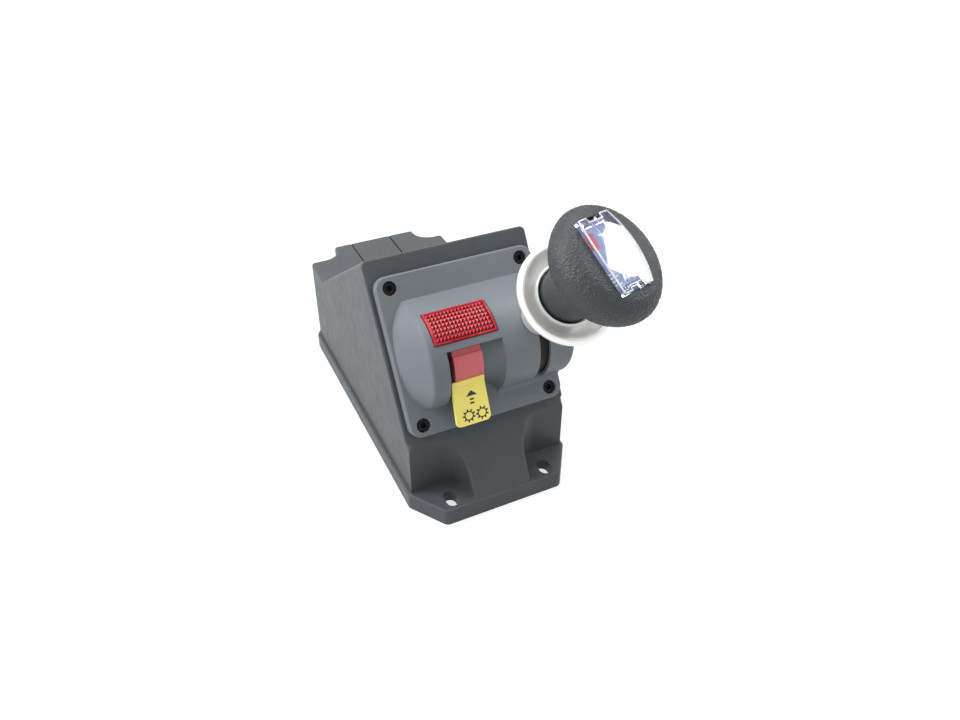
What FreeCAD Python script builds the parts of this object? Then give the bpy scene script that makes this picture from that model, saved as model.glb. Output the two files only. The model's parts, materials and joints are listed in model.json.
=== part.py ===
"""Cab lever control valve: tipping lever with lift collar, power take-off tab and air valve block.

Row frame: X to the right, Y to the rear, Z up.  The origin is the centre of the mounting face.
Units are millimetres.  Three frames are used:
  row frame    the housing and its flange
  face frame   x across, y up the sloped face, z out of it; origin at the foot of the slope
  lever frame  x across, z along the lever; origin on the pivot axis in the lever's middle plane
"""
import FreeCAD, Part
import math
import os
from FreeCAD import Placement, Rotation, Vector

# ---------------------------------------------------------------- housing
FLANGE_LENGTH = 208.6
FLANGE_WIDTH = 95.8
FLANGE_HEIGHT = 9.9
FLANGE_CORNER_X = 13.6
FLANGE_CORNER_Y = 20.5
WALL = 3.0
BODY_ROUND = 2.0
BODY_HALF_FOOT = 46.1
BODY_HALF_TOP = 45.2
FACE_SLOPE = 57.6
FACE_FOOT_Y = -102.8
FACE_LENGTH = 135.9
RIM_HALF = 46.5
RIM_FOOT_V = 38.5
RIM_DEPTH = 6.0
SHOULDER_Y = 58.5
SHOULDER_Z = 64.7
REAR_Y = 98.5
FRONT_PILLAR_HALF = 17.0
FRONT_NOTCH_Y = -83.3
FRONT_NOTCH_R = 11.2
REAR_PILLAR_X = (-25.8, 29.8)
REAR_NOTCH_Y = 84.5
REAR_NOTCH_R = 10.5
SHOULDER_GROOVE_X = (-14.3, 12.4)
SHOULDER_GROOVE_WIDTH = 1.0
SHOULDER_GROOVE_DEPTH = 1.2
FRONT_SLOT_X = 28.2
FRONT_SLOT_Y = -96.0
FRONT_SLOT_WIDTH = 7.0
FRONT_SLOT_LENGTH = 11.0
REAR_HOLE_X = 37.5
REAR_HOLE_Y = 92.9
REAR_HOLE_R = 3.5
BOSS_FOOT = 3.0

# ---------------------------------------------------------------- cover and barrel
PLATE_HALF = 44.1
PLATE_V = (42.0, 126.0)
PLATE_TOP = 6.4
PLATE_SKIN = 2.6
PLATE_CORNER_R = 6.5
GASKET = 1.0
COVER_SCREW_U = 36.75
COVER_SCREW_V = (48.1, 119.6)
SCREW_SEAT_N = 1.3
MOUTH_U = (-37.0, 40.6)
MOUTH_V = (54.0, 111.0)
PIVOT_V = 81.5
PIVOT_N = 3.6
BARREL_R = 26.5
BARREL_WALL = 2.0
BARREL_U = (-32.3, 48.2)
BARREL_FOOT_U = -42.4
BARREL_SQUASH = (0.86, 0.33)
BARREL_TUCK_N = 15.0
RAMP_FOOT_V = 112.0
RIDGE_ROUND = 2.0
RIGHT_ROUND = 4.2
COVE_U = (5.0, 43.0)
COVE_R = 2.8
WINDOW_U = (-23.5, -3.0)
LIP_ANGLE = 4.0
SCOOP_U = 7.0
SCOOP_DEPTH = 6.5
SCOOP_WALL = 1.7
LEVER_U = 29.5
SLOT_HALF = 2.95
SLOT_ANGLES = (-74.0, 49.0)
LENS_U = (-28.5, 5.9)
LENS_ANGLES = (12.5, 56.0)
LENS_TOP_R = 27.5
LENS_SEAT_R = 25.5
LENS_LEDGE = 1.4

# ---------------------------------------------------------------- lever
LEVER_TILT = 15.7
SHAFT_R = 4.0
RUNNING_GAP = 0.05
DRUM_R = 24.1
DRUM_HALF = 5.5
HUB_R = 9.0
ROD_R = 4.0
BLADE_HALF = 2.4
BLADE_DEPTH = 10.0
SADDLE_R = 27.0
COLLAR_TRAVEL = 6.0
NECK_R = 13.7
NECK_FOOT = 58.0
KNOB_R = 28.0
KNOB_FLATTEN = 0.87
KNOB_CENTRE = (0.3, -0.6, 102.5)
KNOB_TURN = 10.8
KNOB_TILT = (-5.0, 10.8)
KNOB_DEPTH = 19.4
KNOB_CROWN = 11.3
CAP_LENGTH = 36.0
CAP_END = 17.4
CAP_BOW = (1.0, 3.4)
CAP_SHIFT = (-2.1, 1.0)
CAP_SEAT = 7.0
CAP_TOP = 13.3
CAP_DOME_R = 90.0
LABEL_THICK = 0.8
LEVER_CAM_RISE = 6.0
LEVER_CAM_U = (16.5, 22.5)
LEVER_CAM_REST_R = 12.5
LEVER_RANGE = (-52.0, 18.0)

# ---------------------------------------------------------------- power take-off tab
PTO_U = (-20.0, -4.4)
PTO_R = 23.8
PTO_SKIN = 2.4
PTO_ANGLES = (-42.0, 9.0)
PTO_RANGE = (0.0, 38.0)
PTO_CAM_U = (-3.5, 2.5)
PTO_CAM_RISE = 5.0
PTO_CAM_REST_R = 11.0
TAB_ROOT = (65.4, 21.9)
TAB_TIP = (43.6, 17.9)
TAB_THICK = 2.6
TAB_ROOT_U = (-22.3, -4.6)
TAB_TIP_U = (-23.0, -4.0)

# ---------------------------------------------------------------- mechanism inside
FRAME_U = (-27.0, 38.5)
FRAME_V = (54.6, 110.4)
FRAME_GAUGE = 2.5
FRAME_FLOOR = -26.5
EAR_U = (-27.0, 10.5, 36.0)
EAR_HALF_V = 11.0
BUSH_R = 5.6
BLOCK_U = (-13.0, 34.0)
BLOCK_V = (63.0, 100.0)
BLOCK_BOTTOM = -58.0
SPOOL_R = 3.95
SPOOL_BORE_R = 4.0
STEM_R = 2.5
LEVER_PLUNGER_U = 19.5
PTO_PLUNGER_U = -0.5
FRAME_SCREW_U = 22.0
FRAME_SCREW_V = (49.0, 116.5)
FITTINGS = ((-5.0, 71.0), (11.0, 71.0), (27.0, 71.0), (3.0, 92.6), (19.0, 92.6))

X = Vector(1, 0, 0)
Y = Vector(0, 1, 0)
Z = Vector(0, 0, 1)
FAR = 200.0


# ---------------------------------------------------------------- helpers
def block(x0, x1, y0, y1, z0, z1):
    """Box from its six limits."""
    return Part.makeBox(x1 - x0, y1 - y0, z1 - z0, Vector(x0, y0, z0))


def rod(radius, start, end):
    """Cylinder of a radius between two points."""
    start = Vector(*start)
    run = Vector(*end) - start
    return Part.makeCylinder(radius, run.Length, start, run)


def tube(outer, inner, start, end):
    """Hollow cylinder between two points."""
    run = (Vector(*end) - Vector(*start)).normalize() * 0.5
    before = Vector(*start) - run
    after = Vector(*end) + run
    return rod(outer, start, end).cut(rod(inner, tuple(before), tuple(after)))


def slot_bar(width, length, centre, z0, z1):
    """Round-ended bar along Y, standing on z0."""
    x, y = centre
    reach = (length - width) / 2
    bar = block(x - width / 2, x + width / 2, y - reach, y + reach, z0, z1)
    for end in (y - reach, y + reach):
        bar = bar.fuse(rod(width / 2, (x, end, z0), (x, end, z1)))
    return bar.removeSplitter()


def prism(points, direction):
    """Solid swept from a closed polygon of 3-D points."""
    wire = Part.makePolygon([Vector(*p) for p in points] + [Vector(*points[0])])
    return Part.Face(wire).extrude(Vector(*direction))


def rounded_plate(x0, x1, y0, y1, z0, z1, radius):
    """Box whose four upright edges are rounded."""
    plate = block(x0, x1, y0, y1, z0, z1)
    upright = [e for e in plate.Edges if abs(e.tangentAt(e.FirstParameter).z) > 0.9]
    return plate.makeFillet(radius, upright)


def hexagon(flats, start, end):
    """Hexagonal bar between two points that lie on a line along X or Z."""
    start = Vector(*start)
    run = Vector(*end) - start
    side = Vector(0, 1, 0)
    other = run.normalize().cross(side)
    radius = flats / math.sqrt(3)
    corners = []
    for k in range(6):
        a = math.radians(60 * k)
        corners.append(tuple(start + side * radius * math.cos(a) + other * radius * math.sin(a)))
    return prism(corners, tuple(Vector(*end) - start))


def on_face(shape):
    """Move a shape from the face frame to the row frame."""
    moved = shape.copy()
    foot = Vector(0, FACE_FOOT_Y, FLANGE_HEIGHT)
    moved.Placement = Placement(foot, Rotation(X, FACE_SLOPE)).multiply(moved.Placement)
    return moved


def on_lever(shape):
    """Move a shape from the lever frame to the row frame."""
    moved = shape.copy()
    pivot = Vector(LEVER_U, PIVOT_V, PIVOT_N)
    moved.Placement = Placement(pivot, Rotation(X, -LEVER_TILT)).multiply(moved.Placement)
    return on_face(moved)


def off_face(shape):
    """Move a shape from the row frame to the face frame."""
    moved = shape.copy()
    foot = Vector(0, FACE_FOOT_Y, FLANGE_HEIGHT)
    placing = Placement(foot, Rotation(X, FACE_SLOPE)).inverse()
    moved.Placement = placing.multiply(moved.Placement)
    return moved


def around_pivot(angle, radius):
    """Point (v, n) of the face frame at an angle from the outward normal, turning up the slope."""
    a = math.radians(angle)
    return PIVOT_V + radius * math.sin(a), PIVOT_N + radius * math.cos(a)


def sector(u0, u1, r0, r1, angle0, angle1):
    """Part of a pipe about the pivot axis, between two angles, in the face frame."""
    face = Part.Face(Part.makePolygon([
        Vector(u0, PIVOT_V, PIVOT_N + r0), Vector(u1, PIVOT_V, PIVOT_N + r0),
        Vector(u1, PIVOT_V, PIVOT_N + r1), Vector(u0, PIVOT_V, PIVOT_N + r1),
        Vector(u0, PIVOT_V, PIVOT_N + r0)]))
    pivot = Vector(0, PIVOT_V, PIVOT_N)
    face.rotate(pivot, X, -angle0)
    return face.revolve(pivot, X, -(angle1 - angle0))


def profile_turned(points):
    """Revolve a closed outline of (radius, height) pairs about Z; a triple is an arc's mid point."""
    edges = []
    here = Vector(points[0][0], 0, points[0][1])
    middle = None
    for entry in list(points[1:]) + [points[0]]:
        point = Vector(entry[0], 0, entry[1])
        if len(entry) == 3:
            middle = point
            continue
        if middle is None:
            edges.append(Part.LineSegment(here, point).toShape())
        else:
            edges.append(Part.Arc(here, middle, point).toShape())
        here = point
        middle = None
    return Part.Face(Part.Wire(edges)).revolve(Vector(0, 0, 0), Z, 360)


def coil(radius, wire, start, length, turns):
    """Compression spring along +Z, as tilted half rings of six-sided wire that meet at the XZ plane."""
    halves = int(round(2 * turns))
    rise = (length - wire) / halves
    tilt = math.degrees(math.atan2(rise / 2, radius))
    ring = math.hypot(radius, rise / 2)
    around = [math.radians(60 * k) for k in range(7)]
    section = Part.Face(Part.makePolygon([
        Vector(ring + wire / 2 * math.cos(a), 0, wire / 2 * math.sin(a)) for a in around]))
    spring = None
    for k in range(halves):
        half = section.revolve(Vector(0, 0, 0), Z, 180)
        side = 1 if k % 2 == 0 else -1
        if side < 0:
            half.rotate(Vector(0, 0, 0), Z, 180)
        half.rotate(Vector(0, 0, 0), Y, side * tilt)
        half.translate(Vector(0, 0, start + wire / 2 + rise * (k + 0.5)))
        spring = half if spring is None else spring.fuse(half)
    return spring


# ---------------------------------------------------------------- housing
def side_outline(inset):
    """Side profile of the body in the YZ plane, pulled in by the inset."""
    slope = math.radians(FACE_SLOPE)
    top_y = FACE_FOOT_Y + FACE_LENGTH * math.cos(slope)
    top_z = FLANGE_HEIGHT + FACE_LENGTH * math.sin(slope)
    below = -20.0
    foot_y = FACE_FOOT_Y + (below - FLANGE_HEIGHT) / math.tan(slope)
    points = [(foot_y, below), (top_y, top_z), (SHOULDER_Y, SHOULDER_Z),
              (REAR_Y, SHOULDER_Z), (REAR_Y, below)]
    wire = Part.makePolygon([Vector(0, y, z) for y, z in points + points[:1]])
    if inset > 0:
        wire = Part.Face(wire).makeOffset2D(-inset).OuterWire
    return Part.Face(wire)


def tapered_envelope(inset):
    """Loft that gives the side walls their draft."""
    wires = []
    for z, half in ((-20.0, BODY_HALF_FOOT), (130.0, BODY_HALF_TOP)):
        x = half - inset
        corners = [(-x, -FAR, z), (x, -FAR, z), (x, FAR, z), (-x, FAR, z), (-x, -FAR, z)]
        wires.append(Part.makePolygon([Vector(*c) for c in corners]))
    return Part.makeLoft(wires, True, True)


def corner_pocket(side, edge_x, edge_y, radius, toward, wall):
    """Upright pocket over a mounting hole, with a round inner corner."""
    x = edge_x - wall
    y = edge_y - toward * wall
    far_y = toward * FAR
    r = radius + wall
    box_y = (min(y, far_y), max(y, far_y))
    pocket = block(x, FAR, box_y[0], box_y[1], FLANGE_HEIGHT - wall - 1, FAR)
    inner = [e for e in pocket.Edges
             if abs(e.tangentAt(e.FirstParameter).z) > 0.9
             and abs(e.CenterOfMass.x - x) < 0.01 and abs(e.CenterOfMass.y - y) < 0.01]
    pocket = pocket.makeFillet(r, inner)
    if side < 0:
        pocket = pocket.mirror(Vector(0, 0, 0), X)
    return pocket


def body_form(inset):
    """Body above the flange: tapered wedge with four corner pockets."""
    form = side_outline(inset).extrude(Vector(2 * FAR, 0, 0))
    form.translate(Vector(-FAR, 0, 0))
    form = form.common(tapered_envelope(inset))
    for side, rear_x in ((-1, -REAR_PILLAR_X[0]), (1, REAR_PILLAR_X[1])):
        form = form.cut(corner_pocket(side, FRONT_PILLAR_HALF, FRONT_NOTCH_Y, FRONT_NOTCH_R, -1, inset))
        form = form.cut(corner_pocket(side, rear_x, REAR_NOTCH_Y, REAR_NOTCH_R, 1, inset))
    return form


def flange_outline(inset):
    """Footprint with its four cut corners."""
    x = FLANGE_WIDTH / 2
    y = FLANGE_LENGTH / 2
    cx = x - FLANGE_CORNER_X
    cy = y - FLANGE_CORNER_Y
    points = [(x, -cy), (x, cy), (cx, y), (-cx, y), (-x, cy), (-x, -cy), (-cx, -y), (cx, -y)]
    wire = Part.makePolygon([Vector(px, py, 0) for px, py in points + points[:1]])
    if inset > 0:
        wire = Part.Face(wire).makeOffset2D(-inset).OuterWire
    return Part.Face(wire)


def round_body_edges(body):
    """Soften the edges of the moulded body."""
    chosen = []
    for edge in body.Edges:
        middle = edge.CenterOfMass
        run = edge.tangentAt(edge.FirstParameter)
        on_side = abs(abs(middle.x) - BODY_HALF_TOP) < 0.6 and edge.Length > 15 and abs(run.y) > 0.5
        front_side = on_side and middle.z > 60
        crest = abs(run.x) > 0.9 and middle.z > SHOULDER_Z + 5
        rear_top = abs(middle.z - SHOULDER_Z) < 0.1 and middle.y > SHOULDER_Y + 10
        rear_corner = abs(run.z) > 0.9 and edge.Length > 50 and middle.y > REAR_NOTCH_Y - 1
        pillar = abs(abs(middle.x) - FRONT_PILLAR_HALF) < 0.1 and edge.Length > 10 and abs(run.y) > 0.5
        if front_side or crest or rear_top or rear_corner or pillar:
            chosen.append(edge)
    return body.makeFillet(BODY_ROUND, chosen)


def face_rim():
    """Slightly wider frame round the sloped face."""
    rim = rounded_plate(-RIM_HALF, RIM_HALF, RIM_FOOT_V, FACE_LENGTH, -RIM_DEPTH, 0, 3.0)
    edges = [e for e in rim.Edges if abs(e.CenterOfMass.z) < 0.01 or abs(e.CenterOfMass.z + RIM_DEPTH) < 0.01]
    return on_face(rim.makeFillet(1.0, edges))


def make_housing():
    """Hollow moulded housing, open underneath, with bosses, ribs and the mechanism mouth."""
    flange = flange_outline(0).extrude(Z * FLANGE_HEIGHT)
    upright = [e for e in flange.Edges if abs(e.tangentAt(e.FirstParameter).z) > 0.9]
    flange = flange.makeFillet(4.0, upright)
    top_rim = [e for e in flange.Edges if abs(e.CenterOfMass.z - FLANGE_HEIGHT) < 0.01]
    flange = flange.makeFillet(1.2, top_rim)
    above = block(-FAR, FAR, -FAR, FAR, FLANGE_HEIGHT - 0.8, FAR)
    outer = round_body_edges(body_form(0)).common(above)
    solid = flange.fuse(outer).fuse(face_rim())

    cavity = body_form(WALL).common(block(-FAR, FAR, -FAR, FAR, FLANGE_HEIGHT - WALL - 0.1, FAR))
    tray = flange_outline(WALL).extrude(Z * (FLANGE_HEIGHT - WALL + 1))
    tray.translate(Vector(0, 0, -1))
    cavity = cavity.fuse(tray)
    shell = solid.cut(cavity)

    for boss in housing_bosses(solid):
        shell = shell.fuse(boss)
    for rib in housing_ribs(solid):
        shell = shell.fuse(rib)
    for hole in housing_holes():
        shell = shell.cut(hole)
    return shell.removeSplitter()


def housing_bosses(envelope):
    """Bosses behind the sloped wall that take the threaded inserts."""
    bosses = []
    inside = off_face(envelope)
    for u in (-COVER_SCREW_U, COVER_SCREW_U):
        for v in COVER_SCREW_V:
            stem = rod(5.2, (u, v, -14.0), (u, v, -1.0))
            outward = math.copysign(8.0, u)
            web = block(min(u, u + outward), max(u, u + outward), v - 0.9, v + 0.9, -12.0, -1.0)
            bosses.append(on_face(stem.fuse(web).common(inside)))
    return bosses


def housing_ribs(envelope):
    """Upright ribs on the side walls and stiffeners beside each mounting hole."""
    ribs = []
    for y in (-45.0, 15.0, 50.0):
        for side in (-1, 1):
            x0 = side * (BODY_HALF_FOOT - 1.5)
            x1 = side * (BODY_HALF_FOOT - WALL - 2.2)
            strip = block(min(x0, x1), max(x0, x1), y - 0.9, y + 0.9, 0, FAR)
            ribs.append(strip.common(envelope))
    for side in (-1, 1):
        for offset in (-11.0, 11.0):
            x = side * FRONT_SLOT_X + offset
            ribs.append(block(x - 1, x + 1, -103.0, -81.0, 0, FLANGE_HEIGHT - 1).common(envelope))
        spot = (side * FRONT_SLOT_X, FRONT_SLOT_Y)
        ribs.append(slot_bar(FRONT_SLOT_WIDTH + 4.4, FRONT_SLOT_LENGTH + 4.4, spot, BOSS_FOOT, FLANGE_HEIGHT - 1))
        start = (side * REAR_HOLE_X, REAR_HOLE_Y, BOSS_FOOT)
        ribs.append(rod(REAR_HOLE_R + 2.2, start, (start[0], start[1], FLANGE_HEIGHT - 1)))
        x = side * (REAR_HOLE_X - 7.5)
        ribs.append(block(x - 1, x + 1, REAR_NOTCH_Y - 1, 103.0, 0, FLANGE_HEIGHT - 1).common(envelope))
    return ribs


def housing_holes():
    """Mouth for the mechanism, screw holes, mounting slots and holes, shoulder grooves."""
    holes = []
    mouth = rounded_plate(MOUTH_U[0], MOUTH_U[1], MOUTH_V[0], MOUTH_V[1], -WALL - 3, 3, 4.0)
    holes.append(on_face(mouth))
    for u in (-COVER_SCREW_U, COVER_SCREW_U):
        for v in COVER_SCREW_V:
            holes.append(on_face(rod(2.8, (u, v, -10.0), (u, v, 3.0))))
    for u in (-FRAME_SCREW_U, FRAME_SCREW_U):
        for v in FRAME_SCREW_V:
            holes.append(on_face(rod(2.2, (u, v, -8.0), (u, v, 3.0))))
    for side in (-1, 1):
        spot = (side * FRONT_SLOT_X, FRONT_SLOT_Y)
        holes.append(slot_bar(FRONT_SLOT_WIDTH, FRONT_SLOT_LENGTH, spot, -1, FLANGE_HEIGHT + 1))
        start = (side * REAR_HOLE_X, REAR_HOLE_Y, -1)
        end = (side * REAR_HOLE_X, REAR_HOLE_Y, FLANGE_HEIGHT + 1)
        holes.append(rod(REAR_HOLE_R, start, end))
    for x in SHOULDER_GROOVE_X:
        half = SHOULDER_GROOVE_WIDTH / 2
        holes.append(block(x - half, x + half, SHOULDER_Y + 2, REAR_Y + 1,
                           SHOULDER_Z - SHOULDER_GROOVE_DEPTH, SHOULDER_Z + 1))
    return holes


# ---------------------------------------------------------------- cover
def barrel_section(u, inset, squash):
    """Side profile of the barrel at one place along it: ramp, drum and front, squashed in V and N."""
    radius = BARREL_R - inset
    reach_v = RAMP_FOOT_V - PIVOT_V
    reach_n = PLATE_TOP - PIVOT_N
    distance = math.hypot(reach_v, reach_n)
    bearing = math.degrees(math.atan2(reach_v, reach_n))
    touch = bearing - math.degrees(math.acos(BARREL_R / distance))
    tangent = around_pivot(touch, radius)
    slope = math.radians(touch)
    run = (math.cos(slope), -math.sin(slope))
    below = -6.0
    length = (tangent[1] - below) / -run[1]
    foot = (tangent[0] + run[0] * length, below)
    crown = around_pivot(touch / 2 - 45, radius)
    front = (PIVOT_V - radius, PIVOT_N)
    corner = (front[0], below)

    def place(point):
        return Vector(u, PIVOT_V + (point[0] - PIVOT_V) * squash[0], below + (point[1] - below) * squash[1])

    return Part.Wire([
        Part.LineSegment(place(foot), place(tangent)).toShape(),
        Part.Arc(place(tangent), place(crown), place(front)).toShape(),
        Part.LineSegment(place(front), place(corner)).toShape(),
        Part.LineSegment(place(corner), place(foot)).toShape()])


def barrel_form(inset):
    """Closed barrel, pulled in by the inset: half drum with a ramp, a leaning left end, a round right end."""
    ridge_u = BARREL_U[0] + inset * 0.4
    right_u = BARREL_U[1] - inset
    full = barrel_section(ridge_u, inset, (1.0, 1.0))
    low = barrel_section(BARREL_FOOT_U + inset, inset, BARREL_SQUASH)
    form = Part.Face(full).extrude(X * (right_u - ridge_u))
    rim = [e for e in form.Edges if abs(e.CenterOfMass.x - right_u) < 0.01 and e.CenterOfMass.z > -5]
    form = form.makeFillet(RIGHT_ROUND - inset, rim)
    tuck = [(PLATE_HALF - inset, PLATE_TOP), (BARREL_U[1] - inset + 0.1, BARREL_TUCK_N),
            (FAR, BARREL_TUCK_N), (FAR, -20.0), (PLATE_HALF - inset, -20.0)]
    form = form.cut(prism([(u, 0, n) for u, n in tuck], (0, FAR, 0)))
    form = form.fuse(Part.makeLoft([low, full], True, True)).removeSplitter()
    ridge = [e for e in form.Edges if abs(e.CenterOfMass.x - ridge_u) < 0.01 and e.CenterOfMass.z > 2]
    return form.makeFillet(max(RIDGE_ROUND - inset, 0.4), ridge)


def scoop_section(shift):
    """Concave finger relief beside the window, as (u, radius) from the window to the barrel's skin."""
    u_in = WINDOW_U[1]
    bottom = BARREL_R - SCOOP_DEPTH - shift
    middle = (u_in + (SCOOP_U - u_in) * 0.72, BARREL_R - SCOOP_DEPTH * 0.72 - shift)
    return (u_in, bottom), middle, (SCOOP_U, BARREL_R + 0.3 - shift)


def scoop_solid(shift, top_r, angle0, angle1):
    """Everything outside the relief's curve, between two angles."""
    start, middle, end = scoop_section(shift)
    lift = PIVOT_N
    points = [Vector(u, PIVOT_V, lift + r) for u, r in (start, middle, end)]
    edges = [Part.Arc(*points).toShape()]
    corner = Vector(end[0], PIVOT_V, lift + top_r)
    other = Vector(start[0], PIVOT_V, lift + top_r)
    edges.append(Part.LineSegment(points[2], corner).toShape())
    edges.append(Part.LineSegment(corner, other).toShape())
    edges.append(Part.LineSegment(other, points[0]).toShape())
    face = Part.Face(Part.Wire(edges))
    pivot = Vector(0, PIVOT_V, PIVOT_N)
    face.rotate(pivot, X, -angle0)
    return face.revolve(pivot, X, -(angle1 - angle0))


def make_cover():
    """Grey cover: flat plate with a skirt, and the barrel shell over the two drums."""
    plate = rounded_plate(-PLATE_HALF, PLATE_HALF, *PLATE_V, GASKET, PLATE_TOP, PLATE_CORNER_R)
    rim = [e for e in plate.Edges if abs(e.CenterOfMass.z - PLATE_TOP) < 0.01]
    plate = plate.makeFillet(1.2, rim)
    skin = 2.5
    hollow = rounded_plate(-PLATE_HALF + skin, PLATE_HALF - skin, PLATE_V[0] + skin, PLATE_V[1] - skin,
                           GASKET - 1, PLATE_TOP - PLATE_SKIN, PLATE_CORNER_R - skin)
    cover = plate.cut(hollow)
    for u in (-COVER_SCREW_U, COVER_SCREW_U):
        for v in COVER_SCREW_V:
            cover = cover.fuse(rod(5.6, (u, v, 0), (u, v, PLATE_TOP - 1)).common(plate_prism()))
    for u in (-FRAME_SCREW_U, FRAME_SCREW_U):
        for v in FRAME_SCREW_V:
            cover = cover.fuse(rod(3.6, (u, v, GASKET), (u, v, PLATE_TOP - 1)))
    top = block(-FAR, FAR, -FAR, FAR, GASKET, FAR)
    barrel = barrel_form(0).common(top)
    cover = cover.fuse(barrel).fuse(foot_cove())
    cover = cover.cut(barrel_form(BARREL_WALL).common(block(-FAR, FAR, -FAR, FAR, GASKET - 1, FAR)))

    relief_wall = scoop_solid(SCOOP_WALL, BARREL_R, -84, LIP_ANGLE + 4)
    relief_wall = relief_wall.common(block(-FAR, FAR, -FAR, FAR, PLATE_TOP - 1, FAR))
    cover = cover.fuse(relief_wall.common(barrel_form(0)))
    low = sector(WINDOW_U[0], WINDOW_U[1], BARREL_R - SCOOP_DEPTH - SCOOP_WALL, FAR / 4, -88, LIP_ANGLE)
    low = low.common(block(-FAR, FAR, -FAR, FAR, PLATE_TOP + 0.8, FAR))
    cover = cover.cut(low)
    relief = scoop_solid(0, FAR / 4, -88, LIP_ANGLE)
    cover = cover.cut(relief.common(block(-FAR, FAR, -FAR, FAR, PLATE_TOP, FAR)))
    slot = sector(LEVER_U - SLOT_HALF, LEVER_U + SLOT_HALF, 15.0, 40.0, *SLOT_ANGLES)
    cover = cover.cut(slot.common(block(-FAR, FAR, -FAR, FAR, PLATE_TOP + 1, FAR)))

    lens_seat = sector(LENS_U[0] - 0.1, LENS_U[1] + 0.1, LENS_SEAT_R, 40.0,
                       LENS_ANGLES[0] - 0.2, LENS_ANGLES[1] + 0.2)
    ledge = math.degrees(LENS_LEDGE / BARREL_R)
    lens_hole = sector(LENS_U[0] + LENS_LEDGE, LENS_U[1] - LENS_LEDGE, 20.0, 40.0,
                       LENS_ANGLES[0] + ledge, LENS_ANGLES[1] - ledge)
    cover = cover.cut(lens_seat).cut(lens_hole)
    for u in (-COVER_SCREW_U, COVER_SCREW_U):
        for v in COVER_SCREW_V:
            cover = cover.cut(rod(3.7, (u, v, SCREW_SEAT_N), (u, v, PLATE_TOP + 1)))
            cover = cover.cut(rod(2.2, (u, v, -1), (u, v, PLATE_TOP)))
    for u in (-FRAME_SCREW_U, FRAME_SCREW_U):
        for v in FRAME_SCREW_V:
            cover = cover.cut(rod(1.9, (u, v, GASKET - 1), (u, v, PLATE_TOP - 2)))
    return cover.removeSplitter()


def foot_cove():
    """Hollow blend between the plate and the foot of the drum's front."""
    front = PIVOT_V - BARREL_R
    low = front - COVE_R + 0.1
    high = PLATE_TOP + COVE_R - 0.1
    strip = block(COVE_U[0], COVE_U[1], low, front + 1.2, PLATE_TOP - 0.5, high)
    return strip.cut(rod(COVE_R, (COVE_U[0] - 1, low - 0.1, high + 0.1), (COVE_U[1] + 1, low - 0.1, high + 0.1)))


def plate_prism():
    """Plan of the cover plate as a tall block, to trim bosses to."""
    return rounded_plate(-PLATE_HALF + 1, PLATE_HALF - 1, PLATE_V[0] + 1, PLATE_V[1] - 1, 0, PLATE_TOP,
                         PLATE_CORNER_R - 1)


def make_cover_gasket():
    """Flat rubber gasket under the cover plate, with clearance round each boss."""
    ring = rounded_plate(-PLATE_HALF + 0.8, PLATE_HALF - 0.8, PLATE_V[0] + 0.8, PLATE_V[1] - 0.8,
                         0, GASKET, PLATE_CORNER_R - 0.8)
    ring = ring.cut(rounded_plate(MOUTH_U[0] - 0.5, MOUTH_U[1] + 0.5, MOUTH_V[0] - 0.5, MOUTH_V[1] + 0.5,
                                  -1, GASKET + 1, 4.0))
    for u in (-COVER_SCREW_U, COVER_SCREW_U):
        for v in COVER_SCREW_V:
            ring = ring.cut(rod(5.8, (u, v, -1), (u, v, GASKET + 1)))
    for u in (-FRAME_SCREW_U, FRAME_SCREW_U):
        for v in FRAME_SCREW_V:
            ring = ring.cut(rod(2.4, (u, v, -1), (u, v, GASKET + 1)))
    return max(ring.Solids, key=lambda s: s.Volume)


def make_cover_screws():
    """Four M4 socket head cap screws."""
    screws = []
    for u in (-COVER_SCREW_U, COVER_SCREW_U):
        for v in COVER_SCREW_V:
            head = rod(3.5, (u, v, SCREW_SEAT_N), (u, v, SCREW_SEAT_N + 3.9))
            head = head.makeFillet(0.4, [e for e in head.Edges if e.CenterOfMass.z > SCREW_SEAT_N + 3])
            shank = rod(1.95, (u, v, -8.4), (u, v, SCREW_SEAT_N))
            socket = hexagon(3.0, (u, v, SCREW_SEAT_N + 1.6), (u, v, SCREW_SEAT_N + 5))
            screws.append(head.fuse(shank).cut(socket))
    return Part.makeCompound(screws)


def make_cover_inserts():
    """Four brass threaded inserts pressed into the housing bosses."""
    inserts = []
    for u in (-COVER_SCREW_U, COVER_SCREW_U):
        for v in COVER_SCREW_V:
            body = tube(2.8, 2.0, (u, v, -8.6), (u, v, -0.4))
            waist = tube(3.0, 2.5, (u, v, -5.2), (u, v, -3.8))
            inserts.append(body.cut(waist))
    return Part.makeCompound(inserts)


def make_indicator_lens():
    """Red window that follows the barrel, with a plug behind it."""
    face = sector(LENS_U[0], LENS_U[1], LENS_SEAT_R, LENS_TOP_R, *LENS_ANGLES)
    rim = [e for e in face.Edges if is_on_radius(e, LENS_TOP_R)]
    face = face.makeFillet(0.7, rim)
    ledge = math.degrees(LENS_LEDGE / BARREL_R) + 0.3
    inset = LENS_LEDGE + 0.1
    plug = sector(LENS_U[0] + inset, LENS_U[1] - inset, 24.7, LENS_SEAT_R + 0.3,
                  LENS_ANGLES[0] + ledge, LENS_ANGLES[1] - ledge)
    return face.fuse(plug).removeSplitter()


def is_on_radius(edge, radius):
    """True where both ends of an edge lie on a cylinder about the pivot."""
    for vertex in edge.Vertexes:
        distance = math.hypot(vertex.Point.y - PIVOT_V, vertex.Point.z - PIVOT_N)
        if abs(distance - radius) > 0.01:
            return False
    return True


def make_lamp_board():
    """Small circuit board that carries the indicator lamp."""
    board = block(-22.0, -3.0, 105.8, 107.4, -2.5, 9.0)
    for u in (-19.5, -5.5):
        board = board.cut(rod(1.2, (u, 105.0, 0.5), (u, 108.0, 0.5)))
    return board


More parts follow.
